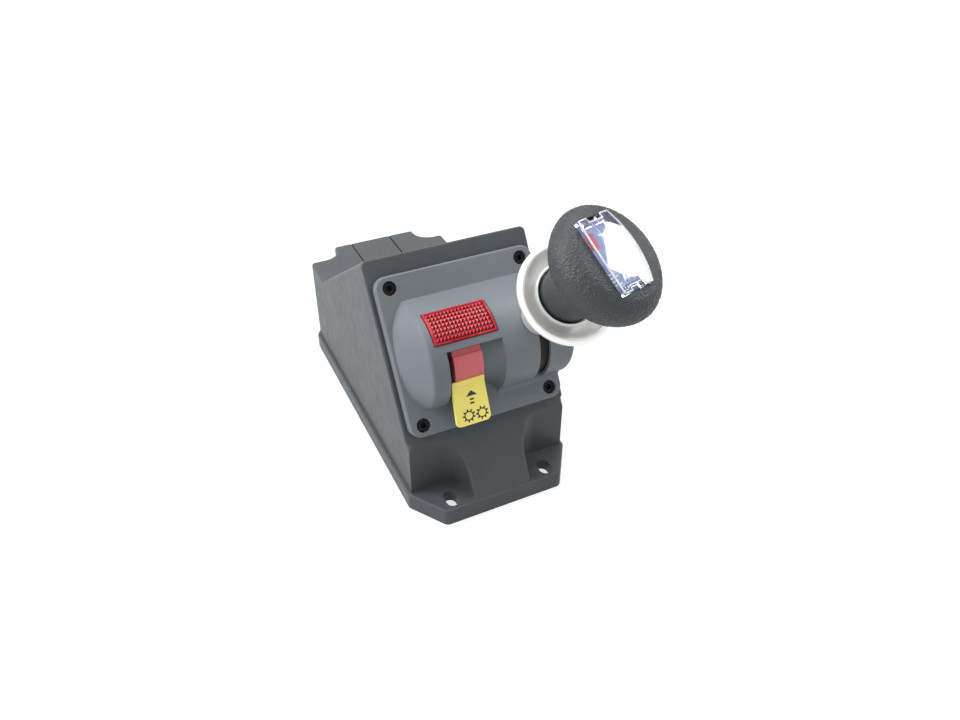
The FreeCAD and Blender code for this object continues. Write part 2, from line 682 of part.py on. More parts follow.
def make_lamp():
    """Lamp with a domed end, soldered to its board."""
    u = (LENS_U[0] + LENS_U[1]) / 2 - 1.0
    stem = rod(2.5, (u, 102.0, 5.0), (u, 105.8, 5.0))
    foot = rod(2.9, (u, 104.8, 5.0), (u, 105.8, 5.0))
    dome = Part.makeSphere(2.5, Vector(u, 102.0, 5.0))
    return stem.fuse(foot).fuse(dome).removeSplitter()


# ---------------------------------------------------------------- pivot and frame
def make_pivot_shaft():
    """Steel shaft with a groove for a clip at each end."""
    shaft = rod(SHAFT_R, (-29.2, PIVOT_V, PIVOT_N), (40.4, PIVOT_V, PIVOT_N))
    for u in (-28.2, 38.8):
        ring = tube(SHAFT_R + 1, SHAFT_R - 0.7, (u, PIVOT_V, PIVOT_N), (u + 0.8, PIVOT_V, PIVOT_N))
        shaft = shaft.cut(ring)
    ends = [e for e in shaft.Edges if e.CenterOfMass.x in (-29.2, 40.4)]
    return shaft.makeChamfer(0.5, ends) if ends else shaft


def make_shaft_clips():
    """Two spring clips that hold the shaft endways."""
    clips = []
    for u in (-28.2, 38.8):
        ring = tube(SHAFT_R + 2.6, SHAFT_R - 0.7, (u, PIVOT_V, PIVOT_N), (u + 0.8, PIVOT_V, PIVOT_N))
        gap = block(u - 1, u + 2, PIVOT_V - 2.4, PIVOT_V + 2.4, PIVOT_N - 12, PIVOT_N)
        clips.append(ring.cut(gap))
    return Part.makeCompound(clips)


def make_shaft_bushes():
    """Three flanged bronze bushes in the ears of the frame."""
    bushes = []
    for u in EAR_U:
        start = (u, PIVOT_V, PIVOT_N)
        end = (u + FRAME_GAUGE, PIVOT_V, PIVOT_N)
        body = tube(BUSH_R, SHAFT_R + 0.02, start, end)
        bushes.append(body)
    return Part.makeCompound(bushes)


def make_mech_frame():
    """Folded steel frame: floor, two end walls with feet, and three ears for the shaft."""
    u0, u1 = FRAME_U
    v0, v1 = FRAME_V
    g = FRAME_GAUGE
    floor = block(u0, u1, v0, v1, FRAME_FLOOR, FRAME_FLOOR + g)
    top = -WALL
    frame = floor.fuse(block(-28, 28, v0, v0 + g, FRAME_FLOOR, top))
    frame = frame.fuse(block(-28, 28, v1 - g, v1, FRAME_FLOOR, top))
    frame = frame.fuse(rounded_plate(-28, 28, FRAME_SCREW_V[0] - 4.5, v0 + 1, top - g, top, 0.9))
    frame = frame.fuse(rounded_plate(-28, 28, v1 - 1, FRAME_SCREW_V[1] + 4.5, top - g, top, 0.9))
    frame = frame.fuse(block(-23.0, -2.0, v1 - g - 0.5, v1 - g, top - 6, 8.0))
    for u in EAR_U:
        ear = block(u, u + g, PIVOT_V - EAR_HALF_V, PIVOT_V + EAR_HALF_V, FRAME_FLOOR, PIVOT_N)
        ear = ear.fuse(rod(EAR_HALF_V, (u, PIVOT_V, PIVOT_N), (u + g, PIVOT_V, PIVOT_N)))
        ear = ear.cut(rod(BUSH_R, (u - 1, PIVOT_V, PIVOT_N), (u + g + 1, PIVOT_V, PIVOT_N)))
        frame = frame.fuse(ear)
    for u in (-FRAME_SCREW_U, FRAME_SCREW_U):
        for v in FRAME_SCREW_V:
            frame = frame.cut(rod(2.2, (u, v, top - 8), (u, v, top + 2)))
    for u in (LEVER_PLUNGER_U, PTO_PLUNGER_U):
        frame = frame.cut(rod(4.4, (u, PIVOT_V, FRAME_FLOOR - 1), (u, PIVOT_V, FRAME_FLOOR + 4)))
    for u, v in block_screw_spots():
        frame = frame.cut(rod(2.2, (u, v, FRAME_FLOOR - 1), (u, v, FRAME_FLOOR + 4)))
    return frame.removeSplitter()


def make_frame_screws():
    """Four pan head screws from the frame's feet, through the housing, into the cover."""
    screws = []
    top = -WALL - FRAME_GAUGE
    for u in (-FRAME_SCREW_U, FRAME_SCREW_U):
        for v in FRAME_SCREW_V:
            head = rod(3.5, (u, v, top - 2.4), (u, v, top))
            head = head.makeFillet(1.0, [e for e in head.Edges if e.CenterOfMass.z < top - 2])
            screws.append(head.fuse(rod(1.9, (u, v, top), (u, v, PLATE_TOP - 2.6))))
    return Part.makeCompound(screws)


def make_plunger_guides():
    """Two bronze guides in the frame's floor."""
    guides = []
    for u in (LEVER_PLUNGER_U, PTO_PLUNGER_U):
        bottom = (u, PIVOT_V, FRAME_FLOOR)
        guide = tube(4.4, STEM_R + RUNNING_GAP, bottom, (u, PIVOT_V, FRAME_FLOOR + FRAME_GAUGE))
        guides.append(guide)
    return Part.makeCompound(guides)


# ---------------------------------------------------------------- valve block
def block_screw_spots():
    """Centres of the four screws that hold the valve block to the frame."""
    u0, u1 = BLOCK_U
    v0, v1 = BLOCK_V
    return [(u, v) for u in (u0 + 5.5, u1 - 5.5) for v in (v0 + 4.5, v1 - 4.5)]


def make_valve_block():
    """Aluminium block with two spool bores, five ports and a switch port."""
    u0, u1 = BLOCK_U
    v0, v1 = BLOCK_V
    body = block(u0, u1, v0, v1, BLOCK_BOTTOM, FRAME_FLOOR)
    body = body.makeChamfer(1.0, [e for e in body.Edges if e.CenterOfMass.z < FRAME_FLOOR - 0.1])
    for u in (LEVER_PLUNGER_U, PTO_PLUNGER_U):
        body = body.cut(rod(SPOOL_BORE_R, (u, PIVOT_V, BLOCK_BOTTOM - 1), (u, PIVOT_V, FRAME_FLOOR + 1)))
    for u, v in FITTINGS:
        body = body.cut(rod(4.0, (u, v, BLOCK_BOTTOM - 1), (u, v, BLOCK_BOTTOM + 9)))
    for u, v in block_screw_spots():
        body = body.cut(rod(2.0, (u, v, FRAME_FLOOR - 12), (u, v, FRAME_FLOOR + 1)))
    body = body.cut(rod(4.5, (u0 - 1, PIVOT_V - 4, -44.0), (u0 + 7, PIVOT_V - 4, -44.0)))
    return body.removeSplitter()


def make_valve_screws():
    """Four screws from the frame's floor into the valve block."""
    screws = []
    top = FRAME_FLOOR + FRAME_GAUGE
    for u, v in block_screw_spots():
        head = rod(3.4, (u, v, top), (u, v, top + 2.4))
        screws.append(head.fuse(rod(1.95, (u, v, FRAME_FLOOR - 10), (u, v, top))))
    return Part.makeCompound(screws)


def make_spool_plugs():
    """Two hexagon plugs that close the spool bores."""
    plugs = []
    for u in (LEVER_PLUNGER_U, PTO_PLUNGER_U):
        head = hexagon(9.0, (u, PIVOT_V, BLOCK_BOTTOM - 3.0), (u, PIVOT_V, BLOCK_BOTTOM))
        plugs.append(head.fuse(rod(SPOOL_R, (u, PIVOT_V, BLOCK_BOTTOM), (u, PIVOT_V, BLOCK_BOTTOM + 4))))
    return Part.makeCompound(plugs)


def make_air_fittings():
    """Five push-in tube fittings on the underside of the block."""
    fittings = []
    for u, v in FITTINGS:
        thread = rod(3.95, (u, v, BLOCK_BOTTOM), (u, v, BLOCK_BOTTOM + 6))
        nut = hexagon(9.6, (u, v, BLOCK_BOTTOM - 5), (u, v, BLOCK_BOTTOM))
        barrel = rod(4.7, (u, v, BLOCK_BOTTOM - 13), (u, v, BLOCK_BOTTOM - 5))
        body = thread.fuse(nut).fuse(barrel)
        body = body.cut(rod(3.1, (u, v, BLOCK_BOTTOM - 14), (u, v, BLOCK_BOTTOM - 4)))
        body = body.cut(rod(1.6, (u, v, BLOCK_BOTTOM - 6), (u, v, BLOCK_BOTTOM + 7)))
        fittings.append(body)
    return Part.makeCompound(fittings)


def make_fitting_collets():
    """Release rings of the push-in fittings."""
    rings = []
    for u, v in FITTINGS:
        sleeve = tube(3.05, 2.05, (u, v, BLOCK_BOTTOM - 14.2), (u, v, BLOCK_BOTTOM - 9))
        lip = tube(4.4, 2.05, (u, v, BLOCK_BOTTOM - 15.4), (u, v, BLOCK_BOTTOM - 14.2))
        rings.append(sleeve.fuse(lip))
    return Part.makeCompound(rings)


def make_pressure_switch():
    """Pressure switch for the indicator lamp, screwed into the end of the block."""
    u = BLOCK_U[0]
    v = PIVOT_V - 4
    n = -44.0
    thread = rod(4.45, (u, v, n), (u + 6, v, n))
    nut = hexagon(16.0, (u - 5, v, n), (u, v, n))
    case = rod(9.0, (u - 17, v, n), (u - 5, v, n))
    case = case.makeFillet(1.2, [e for e in case.Edges if abs(e.CenterOfMass.x - (u - 17)) < 0.01])
    return thread.fuse(nut).fuse(case)


def make_switch_terminals():
    """Two blade terminals of the pressure switch."""
    u = BLOCK_U[0] - 17
    v = PIVOT_V - 4
    return Part.makeCompound([
        block(u - 7.5, u, v + dv - 0.4, v + dv + 0.4, -47.1, -40.9) for dv in (-4.0, 4.0)])


# ---------------------------------------------------------------- cams, drums and plungers
def spiral_cam(u_range, rest_r, rise, turn_range, inward):
    """Cam on the shaft whose radius grows evenly with angle where the plunger meets it.

    rise is in millimetres per radian.  inward is +1 where turning the lever up drives the plunger
    in, and -1 where turning it down does.  Angles are counted as in around_pivot.
    """
    margin = 14.0
    lo = turn_range[0] - margin
    hi = turn_range[1] + margin
    points = []
    steps = 10
    for k in range(steps + 1):
        turn = lo + (hi - lo) * k / steps
        radius = rest_r + inward * rise * math.radians(turn)
        points.append(Vector(u_range[0], *around_pivot(180.0 - turn, radius)))
    spiral = Part.BSplineCurve()
    spiral.interpolate(points)
    back = Vector(u_range[0], *around_pivot(0.0, HUB_R - 0.5))
    edges = [spiral.toShape(), Part.Arc(points[-1], back, points[0]).toShape()]
    lobe = Part.Face(Part.Wire(edges)).extrude(X * (u_range[1] - u_range[0]))
    hub = rod(HUB_R, (u_range[0], PIVOT_V, PIVOT_N), (u_range[1], PIVOT_V, PIVOT_N))
    return lobe.fuse(hub)


def shaft_bore(u0, u1):
    """Cutter for a bore that runs on the shaft."""
    return rod(SHAFT_R + RUNNING_GAP, (u0 - 1, PIVOT_V, PIVOT_N), (u1 + 1, PIVOT_V, PIVOT_N))


def make_lever_cam():
    """Steel cam that pushes the tipping spool as the lever goes down."""
    cam = spiral_cam(LEVER_CAM_U, LEVER_CAM_REST_R, LEVER_CAM_RISE, LEVER_RANGE, -1)
    for angle in (60.0, 300.0):
        v, n = around_pivot(angle, 6.6)
        cam = cam.cut(rod(1.5, (LEVER_CAM_U[0] - 1, v, n), (LEVER_CAM_U[1] + 1, v, n)))
    return cam.cut(shaft_bore(*LEVER_CAM_U)).removeSplitter()


def make_cam_pins():
    """Two dowel pins that key the cam to the lever drum."""
    pins = []
    for angle in (60.0, 300.0):
        v, n = around_pivot(angle, 6.6)
        pins.append(rod(1.5, (LEVER_CAM_U[0] + 0.5, v, n), (LEVER_CAM_U[1] + 4, v, n)))
    return Part.makeCompound(pins)


def make_lever_drum():
    """Black drum behind the slot: rim, web, hub and the socket for the lever."""
    half = DRUM_HALF
    rim = tube(DRUM_R, DRUM_R - 2.4, (-half, 0, 0), (half, 0, 0))
    web = rod(DRUM_R - 1, (-1.6, 0, 0), (1.6, 0, 0))
    hub = rod(HUB_R, (-7.0, 0, 0), (6.3, 0, 0))
    socket = block(-half + 0.2, half - 0.2, -8.2, 8.2, 0, DRUM_R - 1)
    drum = rim.fuse(web).fuse(hub).fuse(socket)
    for k in range(5):
        angle = math.radians(90 + 45 * k + 0)
        y = 15.5 * math.cos(angle)
        z = 15.5 * math.sin(angle)
        if z < 6.0:
            drum = drum.cut(rod(3.6, (-3, y, z), (3, y, z)))
    drum = drum.cut(rod(SHAFT_R + RUNNING_GAP, (-9, 0, 0), (9, 0, 0)))
    drum = drum.cut(block(-BLADE_HALF, BLADE_HALF, -BLADE_DEPTH / 2, BLADE_DEPTH / 2, 8.0, DRUM_R + 1))
    drum = drum.cut(rod(1.5, (-8, 0, 16.0), (8, 0, 16.0)))
    drum = on_lever(drum.removeSplitter())
    pins = on_face(make_cam_pins())
    return drum.cut(pins)


def make_rod_pin():
    """Cross pin that locks the lever blade in its socket."""
    return rod(1.5, (-DRUM_HALF + 0.3, 0, 16.0), (DRUM_HALF - 0.3, 0, 16.0))


def make_lever_rod():
    """Steel lever: flat blade through the slot, round rod above, key groove for the collar."""
    blade = block(-BLADE_HALF, BLADE_HALF, -BLADE_DEPTH / 2, BLADE_DEPTH / 2, 8.0, 33.0)
    stem = rod(ROD_R, (0, 0, 31.0), (0, 0, 84.0))
    lever = blade.fuse(stem)
    lever = lever.cut(rod(1.5, (-8, 0, 16.0), (8, 0, 16.0)))
    lever = lever.cut(block(-1.3, 1.3, -ROD_R - 1, -ROD_R + 1.4, 38.0, 38.0 + COLLAR_TRAVEL + 5))
    return lever.removeSplitter()


def make_detent_plate():
    """Plate on the middle ear with a dimple for each resting place of the lever."""
    u0 = EAR_U[1] + FRAME_GAUGE
    plate = rod(15.0, (u0, PIVOT_V, PIVOT_N), (u0 + 1.6, PIVOT_V, PIVOT_N))
    plate = plate.cut(block(u0 - 1, u0 + 3, PIVOT_V + 2, FAR, -FAR, PIVOT_N - 7))
    plate = plate.cut(rod(SHAFT_R + 0.5, (u0 - 1, PIVOT_V, PIVOT_N), (u0 + 3, PIVOT_V, PIVOT_N)))
    for turn in (LEVER_RANGE[0], -26.0, 0.0, LEVER_RANGE[1]):
        v, n = around_pivot(LEVER_TILT + turn, 12.0)
        plate = plate.cut(Part.makeSphere(1.4, Vector(u0 + 2.0, v, n)))
    for angle in (150.0, 210.0):
        v, n = around_pivot(angle, 10.5)
        plate = plate.cut(rod(1.3, (u0 - 1, v, n), (u0 + 3, v, n)))
    return plate


def make_detent_rivets():
    """Two rivets that fix the detent plate to the middle ear."""
    rivets = []
    u0 = EAR_U[1] + FRAME_GAUGE
    for angle in (150.0, 210.0):
        v, n = around_pivot(angle, 10.5)
        shank = rod(1.3, (u0, v, n), (u0 + 1.6, v, n))
        head = rod(2.2, (u0 + 1.6, v, n), (u0 + 2.3, v, n))
        rivets.append(shank.fuse(head))
    return Part.makeCompound(rivets)


def make_lever_plunger():
    """Tipping spool with a domed head under the cam and a collar for its spring."""
    centre = PIVOT_N - LEVER_CAM_REST_R - 3.3
    return plunger(LEVER_PLUNGER_U, centre)


def make_pto_plunger():
    """Power take-off spool, the same pattern under its own cam."""
    centre = PIVOT_N - PTO_CAM_REST_R - 3.1
    return plunger(PTO_PLUNGER_U, centre)


def plunger(u, centre):
    """Spool: dome, stem, spring collar and the land that slides in the block."""
    v = PIVOT_V
    stem = rod(STEM_R, (u, v, -36.0), (u, v, centre))
    dome = Part.makeSphere(STEM_R, Vector(u, v, centre))
    collar = rod(4.15, (u, v, centre - 3.4), (u, v, centre - 2.0))
    land = rod(SPOOL_R, (u, v, -46.0), (u, v, -34.6))
    waist = tube(SPOOL_R + 1, 2.6, (u, v, -42.0), (u, v, -39.0))
    return stem.fuse(dome).fuse(collar).fuse(land.cut(waist)).removeSplitter()


def make_plunger_spring(u, centre):
    """Return spring between the frame's floor and the plunger's collar."""
    start = FRAME_FLOOR + FRAME_GAUGE
    length = centre - 3.4 - start
    spring = coil(3.6, 0.6, 0.0, length, 3.5)
    spring.translate(Vector(u, PIVOT_V, start))
    return spring


# ---------------------------------------------------------------- power take-off tab
def make_pto_drum():
    """Red drum sector with two webs and a hub on the shaft."""
    u0, u1 = PTO_U
    skin = sector(u0, u1, PTO_R - PTO_SKIN, PTO_R, *PTO_ANGLES)
    step = sector(u0, u1, PTO_R - 0.7, PTO_R + 1, LIP_ANGLE - 8.0, PTO_ANGLES[1])
    skin = skin.cut(step)
    hub = rod(7.5, (u0, PIVOT_V, PIVOT_N), (u1, PIVOT_V, PIVOT_N))
    drum = skin.fuse(hub)
    for u in (u0 + 0.6, u1 - 2.6):
        drum = drum.fuse(sector(u, u + 2.0, 3.0, PTO_R - 1, *PTO_ANGLES))
    root = sector(TAB_ROOT_U[0] + 4, TAB_ROOT_U[1] - 4, PTO_R - PTO_SKIN - 2.4, PTO_R - PTO_SKIN, -41, -30)
    drum = drum.fuse(root)
    drum = drum.cut(shaft_bore(u0, u1))
    return drum.removeSplitter()


def make_pto_cam():
    """Cam beside the red drum that pushes the take-off spool as the tab goes up."""
    cam = spiral_cam(PTO_CAM_U, PTO_CAM_REST_R, PTO_CAM_RISE, PTO_RANGE, 1)
    spacer = rod(7.0, (PTO_U[1], PIVOT_V, PIVOT_N), (PTO_CAM_U[0], PIVOT_V, PIVOT_N))
    cam = cam.fuse(spacer)
    return cam.cut(shaft_bore(PTO_U[1], PTO_CAM_U[1])).removeSplitter()


def make_pto_tab():
    """Yellow finger tab that stands off the lower edge of the drum, wider at its tip."""
    (v0, n0), (v1, n1) = TAB_ROOT, TAB_TIP
    length = math.hypot(v1 - v0, n1 - n0)
    inward = ((n1 - n0) / length * TAB_THICK, -(v1 - v0) / length * TAB_THICK)
    top = [(TAB_ROOT_U[0], v0, n0), (TAB_ROOT_U[1], v0, n0), (TAB_TIP_U[1], v1, n1), (TAB_TIP_U[0], v1, n1)]
    slab = prism(top, (0, inward[0], -abs(inward[1])))
    tip = [e for e in slab.Edges
           if abs(e.CenterOfMass.y - v1) < TAB_THICK and e.Length < TAB_THICK + 0.5]
    slab = slab.makeFillet(2.6, tip)
    root = sector(TAB_ROOT_U[0], TAB_ROOT_U[1], PTO_R + 0.02, PTO_R + 1.0, PTO_ANGLES[0], -37.0)
    foot = sector(TAB_ROOT_U[0] + 2.6, TAB_ROOT_U[1] - 0.3, PTO_R - PTO_SKIN, PTO_R + 1.0,
                  PTO_ANGLES[0] - 5.0, PTO_ANGLES[0])
    return slab.fuse(root).fuse(foot).cut(sector(PTO_U[0] - 1, PTO_U[1] + 1, 10, PTO_R, *PTO_ANGLES))


# ---------------------------------------------------------------- collar and knob
def make_lock_collar():
    """Turned aluminium lift collar: coned skirt, wide finger flange and dished top."""
    outline = [
        (ROD_R + 0.08, 44.0), (ROD_R + 0.08, 38.0), (6.6, 36.0), (6.6, 18.0), (8.3, 18.0), (9.0, 24.0),
        (12.0, 33.0, "arc"), (17.0, 46.0), (19.4, 54.5, "arc"), (22.2, 60.6),
        (24.8, 62.0), (25.3, 64.2, "arc"), (23.9, 66.2), (22.7, 66.3, "arc"), (21.7, 65.6), (21.3, 64.6),
        (18.0, 62.8, "arc"), (NECK_R + 0.5, 62.2), (NECK_R + 0.5, 48.0), (ROD_R + 3.0, 48.0),
        (ROD_R + 3.0, 44.0)]
    collar = profile_turned(outline)
    collar = collar.cut(rod(SADDLE_R, (-40, 0, 0), (40, 0, 0)))
    collar = collar.cut(rod(1.25, (0, -20, 41.0), (0, 0, 41.0)))
    return collar


def make_collar_pin():
    """Key pin that keeps the collar from turning on the lever."""
    return rod(1.2, (0, -14.0, 41.0), (0, -ROD_R + 1.1, 41.0))


def make_collar_spring():
    """Spring inside the collar that pushes it down."""
    return coil(9.0, 1.4, 48.05, NECK_FOOT - 48.1, 2.5)


def cap_outline(shrink, height):
    """Barrel-shaped outline with two straight ends and two bowed sides."""
    x, y = CAP_SHIFT
    half = CAP_LENGTH / 2 - shrink
    end = CAP_END / 2 - shrink
    left = x - end - CAP_BOW[0]
    right = x + end + CAP_BOW[1]
    a = Vector(x - end, y + half, height)
    b = Vector(x + end, y + half, height)
    c = Vector(x + end, y - half, height)
    d = Vector(x - end, y - half, height)
    edges = [Part.LineSegment(a, b).toShape(), Part.Arc(b, Vector(right, y, height), c).toShape(),
             Part.LineSegment(c, d).toShape(), Part.Arc(d, Vector(left, y, height), a).toShape()]
    return Part.Wire(edges)


def with_knob(shape):
    """Place a shape built about the grip's middle: lean it, turn it and lift it onto the lever."""
    shape.rotate(Vector(0, 0, 0), X, KNOB_TILT[0])
    shape.rotate(Vector(0, 0, 0), Y, KNOB_TILT[1])
    shape.rotate(Vector(0, 0, 0), Z, KNOB_TURN)
    shape.translate(Vector(*KNOB_CENTRE))
    return shape


def knob_ball():
    """Oval grip: a turned form flattened across its short axis."""
    outline = [
        (0.0, -KNOB_DEPTH), (9.0, -18.3), (21.0, -13.2, "arc"), (KNOB_R, 0.0),
        (25.8, 6.7, "arc"), (21.2, 9.8), (11.0, KNOB_CROWN - 0.4, "arc"), (0.0, KNOB_CROWN)]
    flatten = FreeCAD.Matrix()
    flatten.scale(KNOB_FLATTEN, 1.0, 1.0)
    return with_knob(profile_turned(outline).transformGeometry(flatten))


def make_knob_body():
    """Moulded knob: round neck and oval grip, with a socket for its insert and a recess for the cap."""
    neck = profile_turned([
        (0.0, NECK_FOOT), (NECK_R - 1.2, NECK_FOOT), (NECK_R, NECK_FOOT + 1.2), (NECK_R, 91.0), (0.0, 91.0)])
    knob = neck.fuse(knob_ball())
    recess = Part.Face(cap_outline(-0.1, CAP_SEAT)).extrude(Z * 20)
    knob = knob.cut(with_knob(recess))
    return knob.cut(rod(6.5, (0, 0, NECK_FOOT - 1), (0, 0, 86.0)))


def make_knob_insert():
    """Brass insert moulded into the knob, threaded on the rod."""
    insert = tube(6.5, ROD_R, (0, 0, NECK_FOOT), (0, 0, 85.0))
    return insert.cut(tube(8.0, 5.8, (0, 0, 70.0), (0, 0, 73.0)))


def make_label_plate():
    """Thin label plate under the clear cap."""
    return with_knob(Part.Face(cap_outline(0.6, CAP_SEAT)).extrude(Z * LABEL_THICK))


def make_knob_cap():
    """Clear cap, slightly domed, with a clip notch at each short end."""
    cap = Part.Face(cap_outline(0.1, CAP_SEAT + LABEL_THICK)).extrude(Z * 12)
    dome = Part.makeSphere(CAP_DOME_R, Vector(*CAP_SHIFT, CAP_TOP - CAP_DOME_R))
    cap = cap.common(dome)
    upper = [e for e in cap.Edges if e.CenterOfMass.z > KNOB_CROWN - 1 and e.Length > 5]
    cap = cap.makeFillet(0.5, upper)
    for side in (-1, 1):
        x = CAP_SHIFT[0]
        y = CAP_SHIFT[1] + side * CAP_LENGTH / 2
        notch = block(x - 3.6, x + 3.6, min(y, y - side * 2.2), max(y, y - side * 2.2), CAP_TOP - 3.4, FAR)
        cap = cap.cut(notch)
    return with_knob(cap)


# ---------------------------------------------------------------- output
def all_parts():
    """Every node with its solid in the row frame."""
    parts = {
        "housing": make_housing(),
        "cover": on_face(make_cover()),
        "cover_gasket": on_face(make_cover_gasket()),
        "cover_screws": on_face(make_cover_screws()),
        "cover_inserts": on_face(make_cover_inserts()),
        "indicator_lens": on_face(make_indicator_lens()),
        "lamp_board": on_face(make_lamp_board()),
        "indicator_lamp": on_face(make_lamp()),
        "pivot_shaft": on_face(make_pivot_shaft()),
        "shaft_clips": on_face(make_shaft_clips()),
        "shaft_bushes": on_face(make_shaft_bushes()),
        "mech_frame": on_face(make_mech_frame()),
        "frame_screws": on_face(make_frame_screws()),
        "plunger_guides": on_face(make_plunger_guides()),
        "valve_block": on_face(make_valve_block()),
        "valve_screws": on_face(make_valve_screws()),
        "spool_plugs": on_face(make_spool_plugs()),
        "air_fittings": on_face(make_air_fittings()),
        "fitting_collets": on_face(make_fitting_collets()),
        "pressure_switch": on_face(make_pressure_switch()),
        "switch_terminals": on_face(make_switch_terminals()),
        "detent_plate": on_face(make_detent_plate()),
        "detent_rivets": on_face(make_detent_rivets()),
        "lever_drum": make_lever_drum(),
        "lever_cam": on_face(make_lever_cam()),
        "cam_pins": on_face(make_cam_pins()),
        "rod_pin": on_lever(make_rod_pin()),
        "lever_rod": on_lever(make_lever_rod()),
        "knob_body": on_lever(make_knob_body()),
        "knob_insert": on_lever(make_knob_insert()),
        "label_plate": on_lever(make_label_plate()),
        "knob_cap": on_lever(make_knob_cap()),
        "lock_collar": on_lever(make_lock_collar()),
        "collar_pin": on_lever(make_collar_pin()),
        "collar_spring": on_lever(make_collar_spring()),
        "pto_drum": on_face(make_pto_drum()),
        "pto_cam": on_face(make_pto_cam()),
        "pto_tab": on_face(make_pto_tab()),
        "lever_plunger": on_face(make_lever_plunger()),
        "pto_plunger": on_face(make_pto_plunger()),
    }
    lever_centre = PIVOT_N - LEVER_CAM_REST_R - 3.3
    pto_centre = PIVOT_N - PTO_CAM_REST_R - 3.1
    parts["lever_plunger_spring"] = on_face(make_plunger_spring(LEVER_PLUNGER_U, lever_centre))
    parts["pto_plunger_spring"] = on_face(make_plunger_spring(PTO_PLUNGER_U, pto_centre))
    return parts


os.makedirs("parts", exist_ok=True)
for node, shape in all_parts().items():
    bad = not shape.isValid() or not shape.Solids
    print(node, "solids", len(shape.Solids), "volume", round(shape.Volume, 1), "BAD" if bad else "")
    shape.exportStep(os.path.join("parts", node + ".step"))
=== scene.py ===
"""Studio scene of a cab lever control valve, built round its packed construction model.

The construction model gives every piece its place and its motion.  This script adds the finer
visual pieces, the procedural finishes, the camera and the light.
"""

import json
import logging
import math
from dataclasses import dataclass, field
from enum import Enum, IntEnum
from typing import Callable, Dict, Iterable, List, Optional, Sequence, Tuple

import bmesh
import bpy
from mathutils import Matrix, Vector, noise

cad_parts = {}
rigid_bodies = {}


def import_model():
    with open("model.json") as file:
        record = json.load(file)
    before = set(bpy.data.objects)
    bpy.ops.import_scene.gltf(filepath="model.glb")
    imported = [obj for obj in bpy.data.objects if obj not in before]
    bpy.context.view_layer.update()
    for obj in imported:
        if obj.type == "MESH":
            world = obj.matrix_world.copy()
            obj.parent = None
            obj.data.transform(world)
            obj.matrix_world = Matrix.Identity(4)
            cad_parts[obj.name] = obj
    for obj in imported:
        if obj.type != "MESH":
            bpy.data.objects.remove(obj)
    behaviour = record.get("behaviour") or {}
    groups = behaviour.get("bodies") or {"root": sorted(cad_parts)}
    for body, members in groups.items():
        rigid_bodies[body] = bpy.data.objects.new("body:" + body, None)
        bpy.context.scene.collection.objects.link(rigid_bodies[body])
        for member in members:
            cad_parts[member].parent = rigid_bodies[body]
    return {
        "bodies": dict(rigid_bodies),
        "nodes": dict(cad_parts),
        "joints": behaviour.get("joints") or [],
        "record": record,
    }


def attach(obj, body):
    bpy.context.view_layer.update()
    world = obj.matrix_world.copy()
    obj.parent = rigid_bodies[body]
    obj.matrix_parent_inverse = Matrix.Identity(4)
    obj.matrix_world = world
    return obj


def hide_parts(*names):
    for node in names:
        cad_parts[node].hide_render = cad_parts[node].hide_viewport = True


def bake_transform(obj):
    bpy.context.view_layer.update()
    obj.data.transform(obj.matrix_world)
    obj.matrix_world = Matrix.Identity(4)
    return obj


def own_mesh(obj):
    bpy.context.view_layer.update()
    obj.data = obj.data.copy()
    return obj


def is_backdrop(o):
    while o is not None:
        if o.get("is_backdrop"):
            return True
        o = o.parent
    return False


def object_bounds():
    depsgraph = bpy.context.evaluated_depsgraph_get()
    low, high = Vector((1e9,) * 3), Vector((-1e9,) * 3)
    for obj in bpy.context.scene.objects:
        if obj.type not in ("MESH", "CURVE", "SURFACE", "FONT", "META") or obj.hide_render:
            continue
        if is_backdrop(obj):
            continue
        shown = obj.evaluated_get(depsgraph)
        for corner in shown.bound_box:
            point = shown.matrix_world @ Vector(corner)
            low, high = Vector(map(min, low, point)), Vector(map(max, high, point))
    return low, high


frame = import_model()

logging.basicConfig(level=logging.INFO, format="%(levelname)s %(message)s")
LOG = logging.getLogger("control_valve")

MM = 0.001
SHARP_DEG = 35.0
NODE_SPACING = 180.0
WHITE = (1.0, 1.0, 1.0, 1.0)
Colour = Tuple[float, float, float]
Point2 = Tuple[float, float]
Point3 = Tuple[float, float, float]


